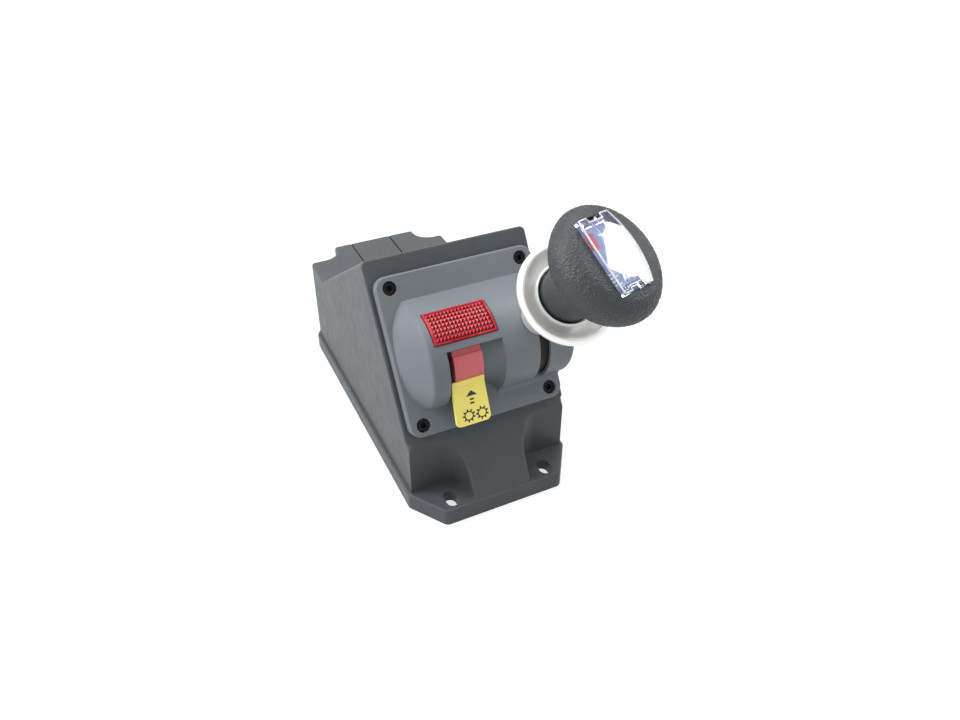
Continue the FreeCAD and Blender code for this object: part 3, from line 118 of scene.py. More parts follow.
# --------------------------------------------------------------------------------------
# Sizes
# --------------------------------------------------------------------------------------
@dataclass(frozen=True)
class FaceSizes:
    """Where the sloped control face lies in the row frame.

    Attributes:
        slope_deg: Slope of the face above the horizontal.
        foot_y_mm: Row Y of the foot of the slope.
        foot_z_mm: Row Z of the foot of the slope.
        pivot_v_mm: Distance up the face of the shaft.
        pivot_n_mm: Height of the shaft above the face.
        lever_x_mm: Row X of the lever's middle plane.
        lever_tilt_deg: Angle from the face's normal to the lever, turning up the slope.
    """

    slope_deg: float = 57.6
    foot_y_mm: float = -102.8
    foot_z_mm: float = 9.9
    pivot_v_mm: float = 81.5
    pivot_n_mm: float = 3.6
    lever_x_mm: float = 29.5
    lever_tilt_deg: float = 15.7

    def face_matrix(self) -> Matrix:
        """Return the matrix that takes face millimetres to row metres.

        Returns:
            The matrix.
        """
        place = Matrix.Translation(Vector((0.0, self.foot_y_mm, self.foot_z_mm)))
        turn = Matrix.Rotation(math.radians(self.slope_deg), 4, "X")
        return Matrix.Scale(MM, 4) @ place @ turn

    def pivot_matrix(self) -> Matrix:
        """Return the matrix from millimetres about the shaft, face axes, to row metres."""
        shift = Matrix.Translation(Vector((0.0, self.pivot_v_mm, self.pivot_n_mm)))
        return self.face_matrix() @ shift

    def lever_matrix(self) -> Matrix:
        """Return the matrix from lever millimetres, Z along the lever, to row metres.

        Returns:
            The matrix.
        """
        shift = Matrix.Translation(Vector((self.lever_x_mm, 0.0, 0.0)))
        turn = Matrix.Rotation(math.radians(-self.lever_tilt_deg), 4, "X")
        return self.pivot_matrix() @ shift @ turn


@dataclass(frozen=True)
class GripSizes:
    """Oval grip with its clear cap and label; heights count from the grip's middle.

    Attributes:
        centre_mm: The grip's middle in lever millimetres.
        lean_deg: Turns about X, then Y, then Z that place the grip.
        cap_length_mm: Length of the cap between its short ends.
        cap_end_mm: Width of the cap at each end.
        cap_bow_mm: How far the left and right side bow out.
        cap_shift_mm: Middle of the cap across and along.
        seat_mm: Height of the label's underside.
        label_mm: Thickness of the label.
        label_gap_mm: Air between the label and the cap's foot.
        print_mm: Gap under the label's print and the print's thickness.
        patch_mm: Corners of the red patch about the cap's middle.
        bar_corner_mm: Left and lower edge of the lowest bar.
        bar_step_mm: Distance from bar to bar.
        bar_height_mm: Height of a bar.
        bar_widths_mm: Widths that the bars take in turn.
        bar_count: Number of bars.
        top_mm: Height of the cap's crown.
        dome_mm: Radius of the cap's domed top.
        wall_mm: Thickness of the cap's clear walls.
        cap_gap_mm: Gap between the cap's walls and its seat.
        cap_round_mm: Rounding of the cap's edges.
        notch_mm: Half width and depth of the clip notch at each end.
        bead_mm: Half width of the white bead along the cap's upper edge, a painted highlight on the clear
            cap's edge.
        bead_tall: Height of the bead as a share of its width.
        bead_sunk: Depth of the bead's middle below the dome, as a share of its half width.
        voxel_mm: Mesh size of the grained skin.
        pebble_mm: Size of one pebble of the grain.
        furrow: Share of a pebble taken up by its rounded side.
        relief_mm: Depth of the furrows between pebbles.
        relief_middle: Share of the relief that lies below the skin's own surface.
        warp_scale: How fast the grain's warp changes, per millimetre.
        warp_mm: How far the grain is warped.
        neck_top_mm: Height along the lever where the grain starts to show.
        neck_rise_mm: Distance over which the grain comes up.
        neck_grain: Share of the grain left on the neck.
        bore_mm: Radius and top of the hollow about the lever, which stays smooth.
        seat_margin_mm: Smooth border round the cap's seat.
        seat_depth_mm: Depth below the seat that stays smooth.
    """

    centre_mm: Point3 = (0.3, -0.6, 102.5)
    lean_deg: Point3 = (-5.0, 10.8, 10.8)
    cap_length_mm: float = 36.0
    cap_end_mm: float = 17.4
    cap_bow_mm: Point2 = (1.0, 3.4)
    cap_shift_mm: Point2 = (-2.1, 1.0)
    seat_mm: float = 7.0
    label_mm: float = 0.8
    label_gap_mm: float = 0.05
    print_mm: Point2 = (0.01, 0.03)
    patch_mm: Tuple[Point2, ...] = ((-6.6, 5.0), (-3.0, 4.2), (-2.6, 11.6), (-5.8, 12.8))
    bar_corner_mm: Point2 = (-6.6, -12.6)
    bar_step_mm: float = 1.7
    bar_height_mm: float = 0.75
    bar_widths_mm: Point2 = (3.1, 2.3)
    bar_count: int = 4
    top_mm: float = 12.6
    dome_mm: float = 240.0
    wall_mm: float = 1.5
    cap_gap_mm: float = 0.1
    cap_round_mm: float = 0.35
    notch_mm: Point2 = (3.6, 2.2)
    bead_mm: float = 0.42
    bead_tall: float = 1.3
    bead_sunk: float = 0.6
    voxel_mm: float = 0.38
    pebble_mm: float = 1.25
    furrow: float = 0.42
    relief_mm: float = 0.30
    relief_middle: float = 0.75
    warp_scale: float = 0.35
    warp_mm: float = 0.15
    neck_top_mm: float = 78.0
    neck_rise_mm: float = 9.0
    neck_grain: float = 0.12
    bore_mm: Point2 = (9.0, 88.0)
    seat_margin_mm: float = 0.6
    seat_depth_mm: float = 1.0

    def matrix(self, face: FaceSizes) -> Matrix:
        """Return the matrix from grip millimetres to row metres.

        Args:
            face: Sizes of the control face.

        Returns:
            The matrix.
        """
        x, y, z = (math.radians(a) for a in self.lean_deg)
        turn = Matrix.Rotation(z, 4, "Z") @ Matrix.Rotation(y, 4, "Y") @ Matrix.Rotation(x, 4, "X")
        return face.lever_matrix() @ Matrix.Translation(Vector(self.centre_mm)) @ turn


@dataclass(frozen=True)
class LensSizes:
    """Red window over the indicator lamp.

    Attributes:
        x_mm: Left and right edge.
        angles_deg: Lower and upper edge, as angles from the face's normal about the shaft.
        seat_mm: Radius of the underside.
        skin_mm: Radius over the prisms.
        columns: Number of prisms across.
        rows: Number of prisms up.
        border_mm: Width of the plain border.
        prism_mm: Height of each prism.
        gap_mm: Gap between the lens and its seat.
        lip_mm: Width of the slope on each side of the border.
        border_drop_mm: How far the border lies below the prisms' peaks.
    """

    x_mm: Point2 = (-28.5, 5.9)
    angles_deg: Point2 = (12.5, 56.0)
    seat_mm: float = 25.5
    skin_mm: float = 27.5
    columns: int = 16
    rows: int = 7
    border_mm: float = 1.5
    prism_mm: float = 0.85
    gap_mm: float = 0.25
    lip_mm: float = 0.4
    border_drop_mm: float = 0.25


@dataclass(frozen=True)
class LipSizes:
    """Rolled lip of the lift collar.

    Attributes:
        middle_mm: (radius, height along the lever) of the roll's middle.
        roll_mm: Half width and half height of the roll.
        roll_steps: Number of steps round the roll.
        turn_steps: Number of steps round the lever.
    """

    middle_mm: Point2 = (14.95, 62.6)
    roll_mm: Point2 = (0.55, 0.75)
    roll_steps: int = 14
    turn_steps: int = 128


@dataclass(frozen=True)
class TabSizes:
    """Yellow finger tab: its upper face and the signs printed on it.

    Attributes:
        root_mm: (v, n) of the upper edge of its outer face.
        tip_mm: (v, n) of the lower edge of its outer face.
        arrow_tip_mm: (x, distance down the tab) of the arrow's point.
        arrow_half_mm: Half the arrow head's width.
        arrow_height_mm: Height of the arrow head.
        dashes_mm: Left, right, upper and lower edge of each dash, from the arrow's point.
        gear_centres_mm: Centre of each gear sign, as (x, distance down the tab).
        gear_radius_mm: Radius over the teeth.
        gear_rim: Inner and outer radius of the rim, as shares of the radius over the teeth.
        gear_teeth: Number of teeth.
        tooth_half: Half width of a tooth, as a share of the radius over the teeth.
        tooth_root: Where a tooth starts, as a share of the rim's outer radius.
        rim_steps: Number of steps round the rim.
        print_mm: Thickness of the print.
        edge_mm: Rounding of the moulded edges.
        weld_m: Points closer than this are one point.
        flat_deg: Faces that turn less than this become one face.
    """

    root_mm: Point2 = (65.4, 21.9)
    tip_mm: Point2 = (43.6, 17.9)
    arrow_tip_mm: Point2 = (-12.8, 4.3)
    arrow_half_mm: float = 3.1
    arrow_height_mm: float = 2.9
    dashes_mm: Tuple[Tuple[float, float, float, float], ...] = (
        (-1.25, 0.95, 4.3, 5.25), (-1.3, 0.85, 6.3, 7.25))
    gear_centres_mm: Tuple[Point2, Point2] = ((-15.9, 17.3), (-8.6, 17.6))
    gear_radius_mm: float = 3.5
    gear_rim: Point2 = (0.56, 0.74)
    gear_teeth: int = 9
    tooth_half: float = 0.12
    tooth_root: float = 0.96
    rim_steps: int = 30
    print_mm: float = 0.06
    edge_mm: float = 0.6
    weld_m: float = 1e-6
    flat_deg: float = 2.0


@dataclass(frozen=True)
class CameraPose:
    """Where the camera stands and how it looks.

    Attributes:
        azimuth_deg: Compass angle; 0 looks along +Y.
        elevation_deg: Angle above the horizon.
        roll_deg: Turn about the viewing direction.
        distance_mm: Depth of the aiming point.
        side_mm: Offset of the aiming point to the right of the picture's middle.
        rise_mm: Offset of the aiming point above the picture's middle.
        aim_mm: The aiming point in the row frame.
        lens_mm: Focal length.
        sensor_mm: Width of the sensor.
        clip_m: Nearest and farthest distance shown.
    """

    azimuth_deg: float = -25.89
    elevation_deg: float = 36.68
    roll_deg: float = 0.27
    distance_mm: float = 444.93
    side_mm: float = 13.665
    rise_mm: float = -79.034
    aim_mm: Point3 = (0.0, -104.3, 0.0)
    lens_mm: float = 30.573
    sensor_mm: float = 36.0
    clip_m: Point2 = (0.01, 50.0)

    def matrix(self) -> Matrix:
        """Return the camera's world matrix in metres.

        Returns:
            The matrix.
        """
        a = math.radians(self.azimuth_deg)
        e = math.radians(self.elevation_deg)
        r = math.radians(self.roll_deg)
        back = Vector((math.sin(a) * math.cos(e), -math.cos(a) * math.cos(e), math.sin(e)))
        right = (-back).cross(Vector((0.0, 0.0, 1.0))).normalized()
        up = right.cross(-back)
        turned_right = right * math.cos(r) + up * math.sin(r)
        turned_up = up * math.cos(r) - right * math.sin(r)
        place = (
            Vector(self.aim_mm)
            - turned_right * self.side_mm
            - turned_up * self.rise_mm
            + back * self.distance_mm
        ) * MM
        turn = Matrix((turned_right, turned_up, back)).transposed().to_4x4()
        return Matrix.Translation(place) @ turn


# --------------------------------------------------------------------------------------
# Finishes
# --------------------------------------------------------------------------------------
class Grain(Enum):
    """Surface texture families."""

    FINE = "fine"
    LEATHER = "leather"
    TURNED = "turned"
    CAST = "cast"


@dataclass(frozen=True)
class Finish:
    """Everything a surface needs.

    Attributes:
        colour: Base colour, linear.
        roughness: Base roughness.
        metallic: 0 for plastics, 1 for metals.
        specular: Specular level of a dielectric.
        grain: Texture family of the bump.
        grain_scale: Texture cells per metre.
        grain_depth_mm: Height of the bump; 0 for a polished surface.
        variation: How much the colour drifts over the surface.
        roughness_variation: How much the roughness drifts.
        wear_and_highlight_colour: Colour shown on convex edges: worn edges, and on the tab a painted
            highlight.
        wear_and_edge_highlight: Amount of that colour on convex edges.
        dust: Amount of pale dust on upward faces.
        coat: Clear coat weight.
        coat_roughness: Clear coat roughness.
        transmission: Transmission weight.
        ior: Index of refraction.
        glow: Strength of a faint glow in the base colour.
        bevel_mm: Radius of the softened shading on sharp edges.
        anisotropic: Stretch of the highlight on turned metal.
    """

    colour: Colour
    roughness: float = 0.5
    metallic: float = 0.0
    specular: float = 0.5
    grain: Grain = Grain.FINE
    grain_scale: float = 2500.0
    grain_depth_mm: float = 0.02
    variation: float = 0.08
    roughness_variation: float = 0.06
    wear_and_highlight_colour: Colour = (0.5, 0.5, 0.5)
    wear_and_edge_highlight: float = 0.0
    dust: float = 0.0
    coat: float = 0.0
    coat_roughness: float = 0.1
    transmission: float = 0.0
    ior: float = 1.46
    glow: float = 0.0
    bevel_mm: float = 0.0
    anisotropic: float = 0.0


FINISHES: Dict[str, Finish] = {
    "housing_plastic": Finish(
        colour=(0.052, 0.060, 0.067), roughness=0.46, specular=0.38, grain_scale=2300.0, grain_depth_mm=0.035,
        variation=0.10, wear_and_edge_highlight=0.10, wear_and_highlight_colour=(0.16, 0.17, 0.18), dust=0.05, bevel_mm=0.5),
    "cover_plastic": Finish(
        colour=(0.140, 0.159, 0.177), roughness=0.48, specular=0.35, grain_scale=2600.0, grain_depth_mm=0.02,
        variation=0.06, wear_and_edge_highlight=0.12, wear_and_highlight_colour=(0.34, 0.36, 0.38), dust=0.04, bevel_mm=0.35),
    "rubber_black": Finish(colour=(0.02, 0.02, 0.02), roughness=0.8, grain_depth_mm=0.03),
    # Screw heads: their own black, made darker still as painted shade for the counterbores they sit in.
    "black_steel": Finish(
        colour=(0.008, 0.008, 0.009), roughness=0.55, specular=0.2, variation=0.15,
        wear_and_edge_highlight=0.2, wear_and_highlight_colour=(0.12, 0.12, 0.13)),
    "brass": Finish(colour=(0.72, 0.52, 0.22), roughness=0.3, metallic=1.0, grain=Grain.TURNED),
    "red_lens": Finish(
        colour=(0.38, 0.012, 0.020), roughness=0.12, specular=0.4, grain_depth_mm=0.0, variation=0.05),
    "board_green": Finish(colour=(0.02, 0.16, 0.06), roughness=0.45, coat=0.4),
    "lamp_red": Finish(colour=(0.7, 0.08, 0.06), roughness=0.15, grain_depth_mm=0.0, glow=0.1),
    "bright_steel": Finish(
        colour=(0.6, 0.6, 0.61), roughness=0.28, metallic=1.0, grain=Grain.TURNED, anisotropic=0.3),
    "spring_steel": Finish(colour=(0.42, 0.42, 0.44), roughness=0.34, metallic=1.0, grain_depth_mm=0.01),
    "bronze": Finish(colour=(0.55, 0.37, 0.18), roughness=0.5, metallic=1.0, grain=Grain.CAST),
    "zinc_steel": Finish(
        colour=(0.56, 0.57, 0.58), roughness=0.38, metallic=1.0, variation=0.12,
        roughness_variation=0.12, grain_scale=900.0, grain_depth_mm=0.01),
    "zinc_screw": Finish(colour=(0.62, 0.62, 0.6), roughness=0.32, metallic=1.0, variation=0.1),
    "cast_aluminium": Finish(
        colour=(0.6, 0.61, 0.62), roughness=0.42, metallic=1.0, grain=Grain.CAST, grain_depth_mm=0.03),
    "nickel_brass": Finish(colour=(0.66, 0.64, 0.6), roughness=0.2, metallic=1.0, grain_depth_mm=0.005),
    "blue_plastic": Finish(colour=(0.03, 0.12, 0.42), roughness=0.4),
    "switch_black": Finish(colour=(0.025, 0.025, 0.028), roughness=0.45),
    "tin_blade": Finish(colour=(0.68, 0.68, 0.68), roughness=0.35, metallic=1.0, grain_depth_mm=0.006),
    # Drum inside the lever's slot: its own black, made darker still as painted shade for the slot it sits in.
    "drum_black": Finish(colour=(0.010, 0.011, 0.012), roughness=0.5, specular=0.25),
    "knob_black": Finish(
        colour=(0.036, 0.041, 0.046), roughness=0.38, specular=0.5, grain=Grain.LEATHER,
        grain_scale=1900.0, grain_depth_mm=0.03, variation=0.12, dust=0.02),
    "label_blue": Finish(colour=(0.30, 0.36, 0.66), roughness=0.35, grain_depth_mm=0.004),
    "cap_clear": Finish(
        colour=(0.93, 0.95, 1.0), roughness=0.03, transmission=1.0, ior=1.48, grain_depth_mm=0.0,
        variation=0.02, roughness_variation=0.02),
    "collar_aluminium": Finish(
        colour=(0.90, 0.90, 0.87), roughness=0.34, metallic=0.6, grain=Grain.TURNED,
        grain_scale=1400.0, grain_depth_mm=0.0006, variation=0.03),
    "drum_red": Finish(colour=(0.64, 0.135, 0.145), roughness=0.5, grain_depth_mm=0.015),
    # Tab: its pale edge colour paints a highlight on its convex edges and small ears, as well as wear.
    "tab_yellow": Finish(
        colour=(0.92, 0.78, 0.17), roughness=0.45, grain_depth_mm=0.015, variation=0.05,
        wear_and_edge_highlight=0.15, wear_and_highlight_colour=(0.9, 0.78, 0.4)),
    "sign_black": Finish(colour=(0.02, 0.02, 0.02), roughness=0.5, grain_depth_mm=0.004),
    "sign_red": Finish(colour=(0.75, 0.08, 0.09), roughness=0.4, grain_depth_mm=0.004),
    "sign_white": Finish(colour=(0.92, 0.93, 0.95), roughness=0.4, grain_depth_mm=0.004),
    # Darker and paler copies of the lens red: painted shade and painted highlight on the prism facets.
    "lens_painted_shade": Finish(
        colour=(0.10, 0.002, 0.005), roughness=0.15, specular=0.3, grain_depth_mm=0.0, variation=0.1),
    "lens_painted_highlight": Finish(
        colour=(0.62, 0.050, 0.062), roughness=0.15, specular=0.3, grain_depth_mm=0.0, variation=0.05),
    # Near-white, partly clear finish of the cap's edge bead: a painted highlight on the clear cap's edge.
    "cap_painted_highlight": Finish(
        colour=(0.95, 0.96, 0.98), roughness=0.12, specular=0.6, transmission=0.35, ior=1.48,
        grain_depth_mm=0.0, variation=0.02, roughness_variation=0.02),
}


class NodeBuilder:
    """Small helper that adds and links shader nodes."""

    def __init__(self, tree: bpy.types.NodeTree) -> None:
        """Keep the tree.

        Args:
            tree: The node tree to build in.
        """
        self.tree = tree
        self._column = 0

    def add(self, kind: str, **properties: object) -> bpy.types.Node:
        """Add a node and set its properties.

        Args:
            kind: Node class name.
            **properties: Attributes to set on the node.

        Returns:
            The new node.
        """
        node = self.tree.nodes.new(kind)
        node.location = (self._column * NODE_SPACING, 0.0)
        self._column += 1
        for name, value in properties.items():
            setattr(node, name, value)
        return node

    def link(self, source: bpy.types.NodeSocket, target: bpy.types.NodeSocket) -> None:
        """Link two sockets.

        Args:
            source: Output socket.
            target: Input socket.
        """
        self.tree.links.new(source, target)

    def math(self, operation: str, a: object, b: object = 0.0) -> bpy.types.NodeSocket:
        """Add a math node on two sockets or numbers.

        Args:
            operation: Math operation name.
            a: First socket or number.
            b: Second socket or number.

        Returns:
            The result socket.
        """
        node = self.add("ShaderNodeMath", operation=operation)
        for index, value in enumerate((a, b)):
            if isinstance(value, bpy.types.NodeSocket):
                self.link(value, node.inputs[index])
            else:
                node.inputs[index].default_value = float(value)
        return node.outputs[0]


    def object_noise(self, scale: object, detail: float = 2.0, roughness: float = 0.5) -> bpy.types.Node:
        """Add noise that stays with the object.

        Args:
            scale: Cells per metre, a number or a socket.
            detail: Number of finer layers.
            roughness: Weight of the finer layers.

        Returns:
            The noise node.
        """
        node = self.add("ShaderNodeTexNoise")
        node.inputs["Detail"].default_value = detail
        node.inputs["Roughness"].default_value = roughness
        self.link(self.place(), node.inputs["Vector"])
        if isinstance(scale, bpy.types.NodeSocket):
            self.link(scale, node.inputs["Scale"])
        else:
            node.inputs["Scale"].default_value = float(scale)
        return node

    def place(self) -> bpy.types.NodeSocket:
        """Return the surface point's place on the object."""
        return self.add("ShaderNodeTexCoord").outputs["Object"]

    def spread(self, value: bpy.types.NodeSocket, source: Point2, target: Point2 = (0.0, 1.0)
               ) -> bpy.types.NodeSocket:
        """Map one range onto another.

        Args:
            value: Value socket.
            source: Range of the value.
            target: Range of the result.

        Returns:
            The result socket.
        """
        node = self.add("ShaderNodeMapRange")
        for label, number in zip(("From Min", "From Max", "To Min", "To Max"), (*source, *target)):
            node.inputs[label].default_value = number
        self.link(value, node.inputs["Value"])
        return node.outputs["Result"]

    def mix(self, share: bpy.types.NodeSocket, first: object, second: object) -> bpy.types.NodeSocket:
        """Mix two colours.

        Args:
            share: Share of the second colour, a socket.
            first: Colour or socket.
            second: Colour or socket.

        Returns:
            The colour socket.
        """
        node = self.add("ShaderNodeMixRGB")
        self.link(share, node.inputs["Fac"])
        for label, colour in (("Color1", first), ("Color2", second)):
            if isinstance(colour, bpy.types.NodeSocket):
                self.link(colour, node.inputs[label])
            else:
                node.inputs[label].default_value = (*colour, 1.0)
        return node.outputs["Color"]


class EffectLibrary:
    """Shared shader node groups; each gives only colours, masks, values or normals.

    Scales count cells per metre.
    """

    DRIFT_RANGE = (0.3, 0.7)
    EDGE_RANGE = (0.53, 0.62)
    PATCH_SCALE = 160.0
    SPECK_SCALE = 420.0
    WARP_SCALE = 300.0
    WARP_SHARE = 0.0012
    FURROW_TOP = 0.32
    PIT_SCALE = 500.0

    def __init__(self) -> None:
        """Start with no groups built."""
        self._groups: Dict[str, bpy.types.NodeTree] = {}

    def group(self, name: str) -> bpy.types.NodeTree:
        """Return a group, building it on first use.

        Args:
            name: One of drift, wear_and_edge_highlight, dust, fine, leather, turned or cast.

        Returns:
            The node group.
        """
        if name not in self._groups:
            makers: Dict[str, Callable[[], bpy.types.NodeTree]] = {
                "drift": self._drift,
                "wear_and_edge_highlight": self._wear_and_edge_highlight,
                "dust": self._dust,
                "fine": self._fine,
                "leather": self._leather,
                "turned": self._turned,
                "cast": self._cast,
            }
            self._groups[name] = makers[name]()
            LOG.info("shader group %s built", name)
        return self._groups[name]

    @staticmethod
    def _new(name: str, inputs: Sequence[Tuple[str, float]], output: Tuple[str, str]
             ) -> Tuple[bpy.types.NodeTree, NodeBuilder, bpy.types.Node, bpy.types.Node]:
        """Create a group with float inputs and one output.

        Args:
            name: Group name.
            inputs: Name and default of each float input.
            output: Name and socket type of the output.

        Returns:
            The tree, its builder, the input node and the output node.
        """
        tree = bpy.data.node_groups.new("fx_" + name, "ShaderNodeTree")
        for label, default in inputs:
            socket = tree.interface.new_socket(name=label, in_out="INPUT", socket_type="NodeSocketFloat")
            socket.default_value = default
        tree.interface.new_socket(name=output[0], in_out="OUTPUT", socket_type=output[1])
        build = NodeBuilder(tree)
        return tree, build, build.add("NodeGroupInput"), build.add("NodeGroupOutput")

    def _drift(self) -> bpy.types.NodeTree:
        """Slow uneven mask that breaks up flat colour and gloss.

        Returns:
            The node group.
        """
        tree, build, given, result = self._new("drift", [("Scale", 30.0)], ("Mask", "NodeSocketFloat"))
        slow = build.object_noise(given.outputs["Scale"], detail=4.0, roughness=0.6)
        build.link(build.spread(slow.outputs["Fac"], self.DRIFT_RANGE), result.inputs["Mask"])
        return tree

    def _wear_and_edge_highlight(self) -> bpy.types.NodeTree:
        """Mask of convex edges, broken up by noise: edge wear, and on the tab a painted highlight.

        Returns:
            The node group.
        """
        tree, build, given, result = self._new("wear_and_edge_highlight", [("Amount", 0.2)], ("Mask", "NodeSocketFloat"))
        shape = build.add("ShaderNodeNewGeometry")
        patches = build.object_noise(self.PATCH_SCALE, detail=5.0)
        edge = build.spread(shape.outputs["Pointiness"], self.EDGE_RANGE)
        broken = build.math("MULTIPLY", edge, patches.outputs["Fac"])
        build.link(build.math("MULTIPLY", broken, given.outputs["Amount"]), result.inputs["Mask"])
        return tree

    def _dust(self) -> bpy.types.NodeTree:
        """Mask of faces that look up, speckled.

        Returns:
            The node group.
        """
        tree, build, given, result = self._new("dust", [("Amount", 0.1)], ("Mask", "NodeSocketFloat"))
        shape = build.add("ShaderNodeNewGeometry")
        apart = build.add("ShaderNodeSeparateXYZ")
        build.link(shape.outputs["Normal"], apart.inputs["Vector"])
        up = build.math("MAXIMUM", apart.outputs["Z"], 0.0)
        specks = build.object_noise(self.SPECK_SCALE, detail=8.0)
        speckled = build.math("MULTIPLY", up, specks.outputs["Fac"])
        build.link(build.math("MULTIPLY", speckled, given.outputs["Amount"]), result.inputs["Mask"])
        return tree

    def _fine(self) -> bpy.types.NodeTree:
        """Height of a fine spark-eroded mould texture.

        Returns:
            The node group.
        """
        tree, build, given, result = self._new("fine", [("Scale", 2500.0)], ("Height", "NodeSocketFloat"))
        grains = build.object_noise(given.outputs["Scale"])
        build.link(grains.outputs["Fac"], result.inputs["Height"])
        return tree

    def _leather(self) -> bpy.types.NodeTree:
        """Height of pebbled leather: rounded cells with thin furrows between them.

        Returns:
            The node group.
        """
        tree, build, given, result = self._new("leather", [("Scale", 800.0)], ("Height", "NodeSocketFloat"))
        warp = build.object_noise(self.WARP_SCALE)
        shift = build.add("ShaderNodeMixRGB", blend_type="ADD")
        shift.inputs["Fac"].default_value = self.WARP_SHARE
        build.link(build.place(), shift.inputs["Color1"])
        build.link(warp.outputs["Color"], shift.inputs["Color2"])
        cells = build.add("ShaderNodeTexVoronoi", feature="DISTANCE_TO_EDGE")
        build.link(shift.outputs["Color"], cells.inputs["Vector"])
        build.link(given.outputs["Scale"], cells.inputs["Scale"])
        dome = build.add("ShaderNodeMapRange", interpolation_type="SMOOTHSTEP")
        dome.inputs["From Max"].default_value = self.FURROW_TOP
        build.link(cells.outputs["Distance"], dome.inputs["Value"])
        build.link(dome.outputs["Result"], result.inputs["Height"])
        return tree

    def _turned(self) -> bpy.types.NodeTree:
        """Height of very fine tool marks, uneven along and across.

        Returns:
            The node group.
        """
        tree, build, given, result = self._new("turned", [("Scale", 1400.0)], ("Height", "NodeSocketFloat"))
        marks = build.object_noise(given.outputs["Scale"], detail=3.0, roughness=0.7)
        build.link(marks.outputs["Fac"], result.inputs["Height"])
        return tree

    def _cast(self) -> bpy.types.NodeTree:
        """Height of a cast or sintered skin with small pits.

        Returns:
            The node group.
        """
        tree, build, given, result = self._new("cast", [("Scale", 1200.0)], ("Height", "NodeSocketFloat"))
        pits = build.add("ShaderNodeTexVoronoi")
        build.link(build.place(), pits.inputs["Vector"])
        build.link(given.outputs["Scale"], pits.inputs["Scale"])
        soft = build.object_noise(self.PIT_SCALE)
        total = build.math("ADD", pits.outputs["Distance"], soft.outputs["Fac"])
        build.link(total, result.inputs["Height"])
        return tree


class MaterialShop:
    """Makes one material per finish name."""

    COLOUR_DRIFT = 35.0
    GLOSS_DRIFT = 140.0
    DUST: Colour = (0.55, 0.55, 0.54)

    def __init__(self, effects: EffectLibrary) -> None:
        """Keep the shared effects.

        Args:
            effects: The library of shader groups.
        """
        self.effects = effects
        self._made: Dict[str, bpy.types.Material] = {}

    def get(self, name: str) -> bpy.types.Material:
        """Return the material of a finish.

        Args:
            name: Key in FINISHES.

        Returns:
            The material, built on first use.
        """
        if name not in self._made:
            self._made[name] = self._build(name, FINISHES[name])
            LOG.info("finish %s built", name)
        return self._made[name]

    def _effect(self, build: NodeBuilder, name: str, value: float) -> bpy.types.NodeSocket:
        """Add a shared group and set its one input.

        Args:
            build: Builder of the material's tree.
            name: Group name.
            value: Value of the group's input.

        Returns:
            The group's output socket.
        """
        node = build.add("ShaderNodeGroup")
        node.node_tree = self.effects.group(name)
        node.inputs[0].default_value = value
        return node.outputs[0]

    def _colour(self, build: NodeBuilder, finish: Finish) -> bpy.types.NodeSocket:
        """Base colour with drift, paler convex edges (wear, and on the tab a painted highlight) and dust.

        Args:
            build: Builder of the material's tree.
            finish: The finish.

        Returns:
            Colour socket.
        """
        low = tuple(c * (1.0 - finish.variation) for c in finish.colour)
        high = tuple(min(1.0, c * (1.0 + finish.variation)) for c in finish.colour)
        colour = build.mix(self._effect(build, "drift", self.COLOUR_DRIFT), low, high)
        # Paler convex edges: wear, and on the tab a painted highlight.
        if finish.wear_and_edge_highlight > 0.0:
            colour = build.mix(self._effect(build, "wear_and_edge_highlight", finish.wear_and_edge_highlight), colour, finish.wear_and_highlight_colour)
        if finish.dust > 0.0:
            colour = build.mix(self._effect(build, "dust", finish.dust), colour, self.DUST)
        return colour

    def _roughness(self, build: NodeBuilder, finish: Finish) -> bpy.types.NodeSocket:
        """Roughness that drifts with a finer mask.

        Args:
            build: Builder of the material's tree.
            finish: The finish.

        Returns:
            Value socket.
        """
        low = max(0.0, finish.roughness - finish.roughness_variation)
        high = min(1.0, finish.roughness + finish.roughness_variation)
        return build.spread(self._effect(build, "drift", self.GLOSS_DRIFT), (0.0, 1.0), (low, high))

    def _build(self, name: str, finish: Finish) -> bpy.types.Material:
        """Build a material.

        Args:
            name: Finish name.
            finish: The finish.

        Returns:
            The material.
        """
        material = bpy.data.materials.new("finish_" + name)
        material.use_nodes = True
        material.node_tree.nodes.clear()
        build = NodeBuilder(material.node_tree)
        output = build.add("ShaderNodeOutputMaterial")
        shader = build.add("ShaderNodeBsdfPrincipled")
        values = {
            "Metallic": finish.metallic, "Specular IOR Level": finish.specular,
            "Coat Weight": finish.coat, "Coat Roughness": finish.coat_roughness,
            "Transmission Weight": finish.transmission, "IOR": finish.ior,
            "Anisotropic": finish.anisotropic, "Emission Strength": finish.glow,
        }
        for socket, value in values.items():
            shader.inputs[socket].default_value = value
        shader.inputs["Emission Color"].default_value = (*finish.colour, 1.0)
        build.link(self._colour(build, finish), shader.inputs["Base Color"])
        build.link(self._roughness(build, finish), shader.inputs["Roughness"])
        normal: Optional[bpy.types.NodeSocket] = None
        if finish.bevel_mm > 0.0:
            bevel = build.add("ShaderNodeBevel", samples=6)
            bevel.inputs["Radius"].default_value = finish.bevel_mm * MM
            normal = bevel.outputs["Normal"]
        if finish.grain_depth_mm > 0.0:
            bump = build.add("ShaderNodeBump")
            bump.inputs["Strength"].default_value = 1.0
            bump.inputs["Distance"].default_value = finish.grain_depth_mm * MM
            height = self._effect(build, finish.grain.value, finish.grain_scale)
            build.link(height, bump.inputs["Height"])
            if normal is not None:
                build.link(normal, bump.inputs["Normal"])
            normal = bump.outputs["Normal"]
        if normal is not None:
            build.link(normal, shader.inputs["Normal"])
        build.link(shader.outputs["BSDF"], output.inputs["Surface"])
        return material


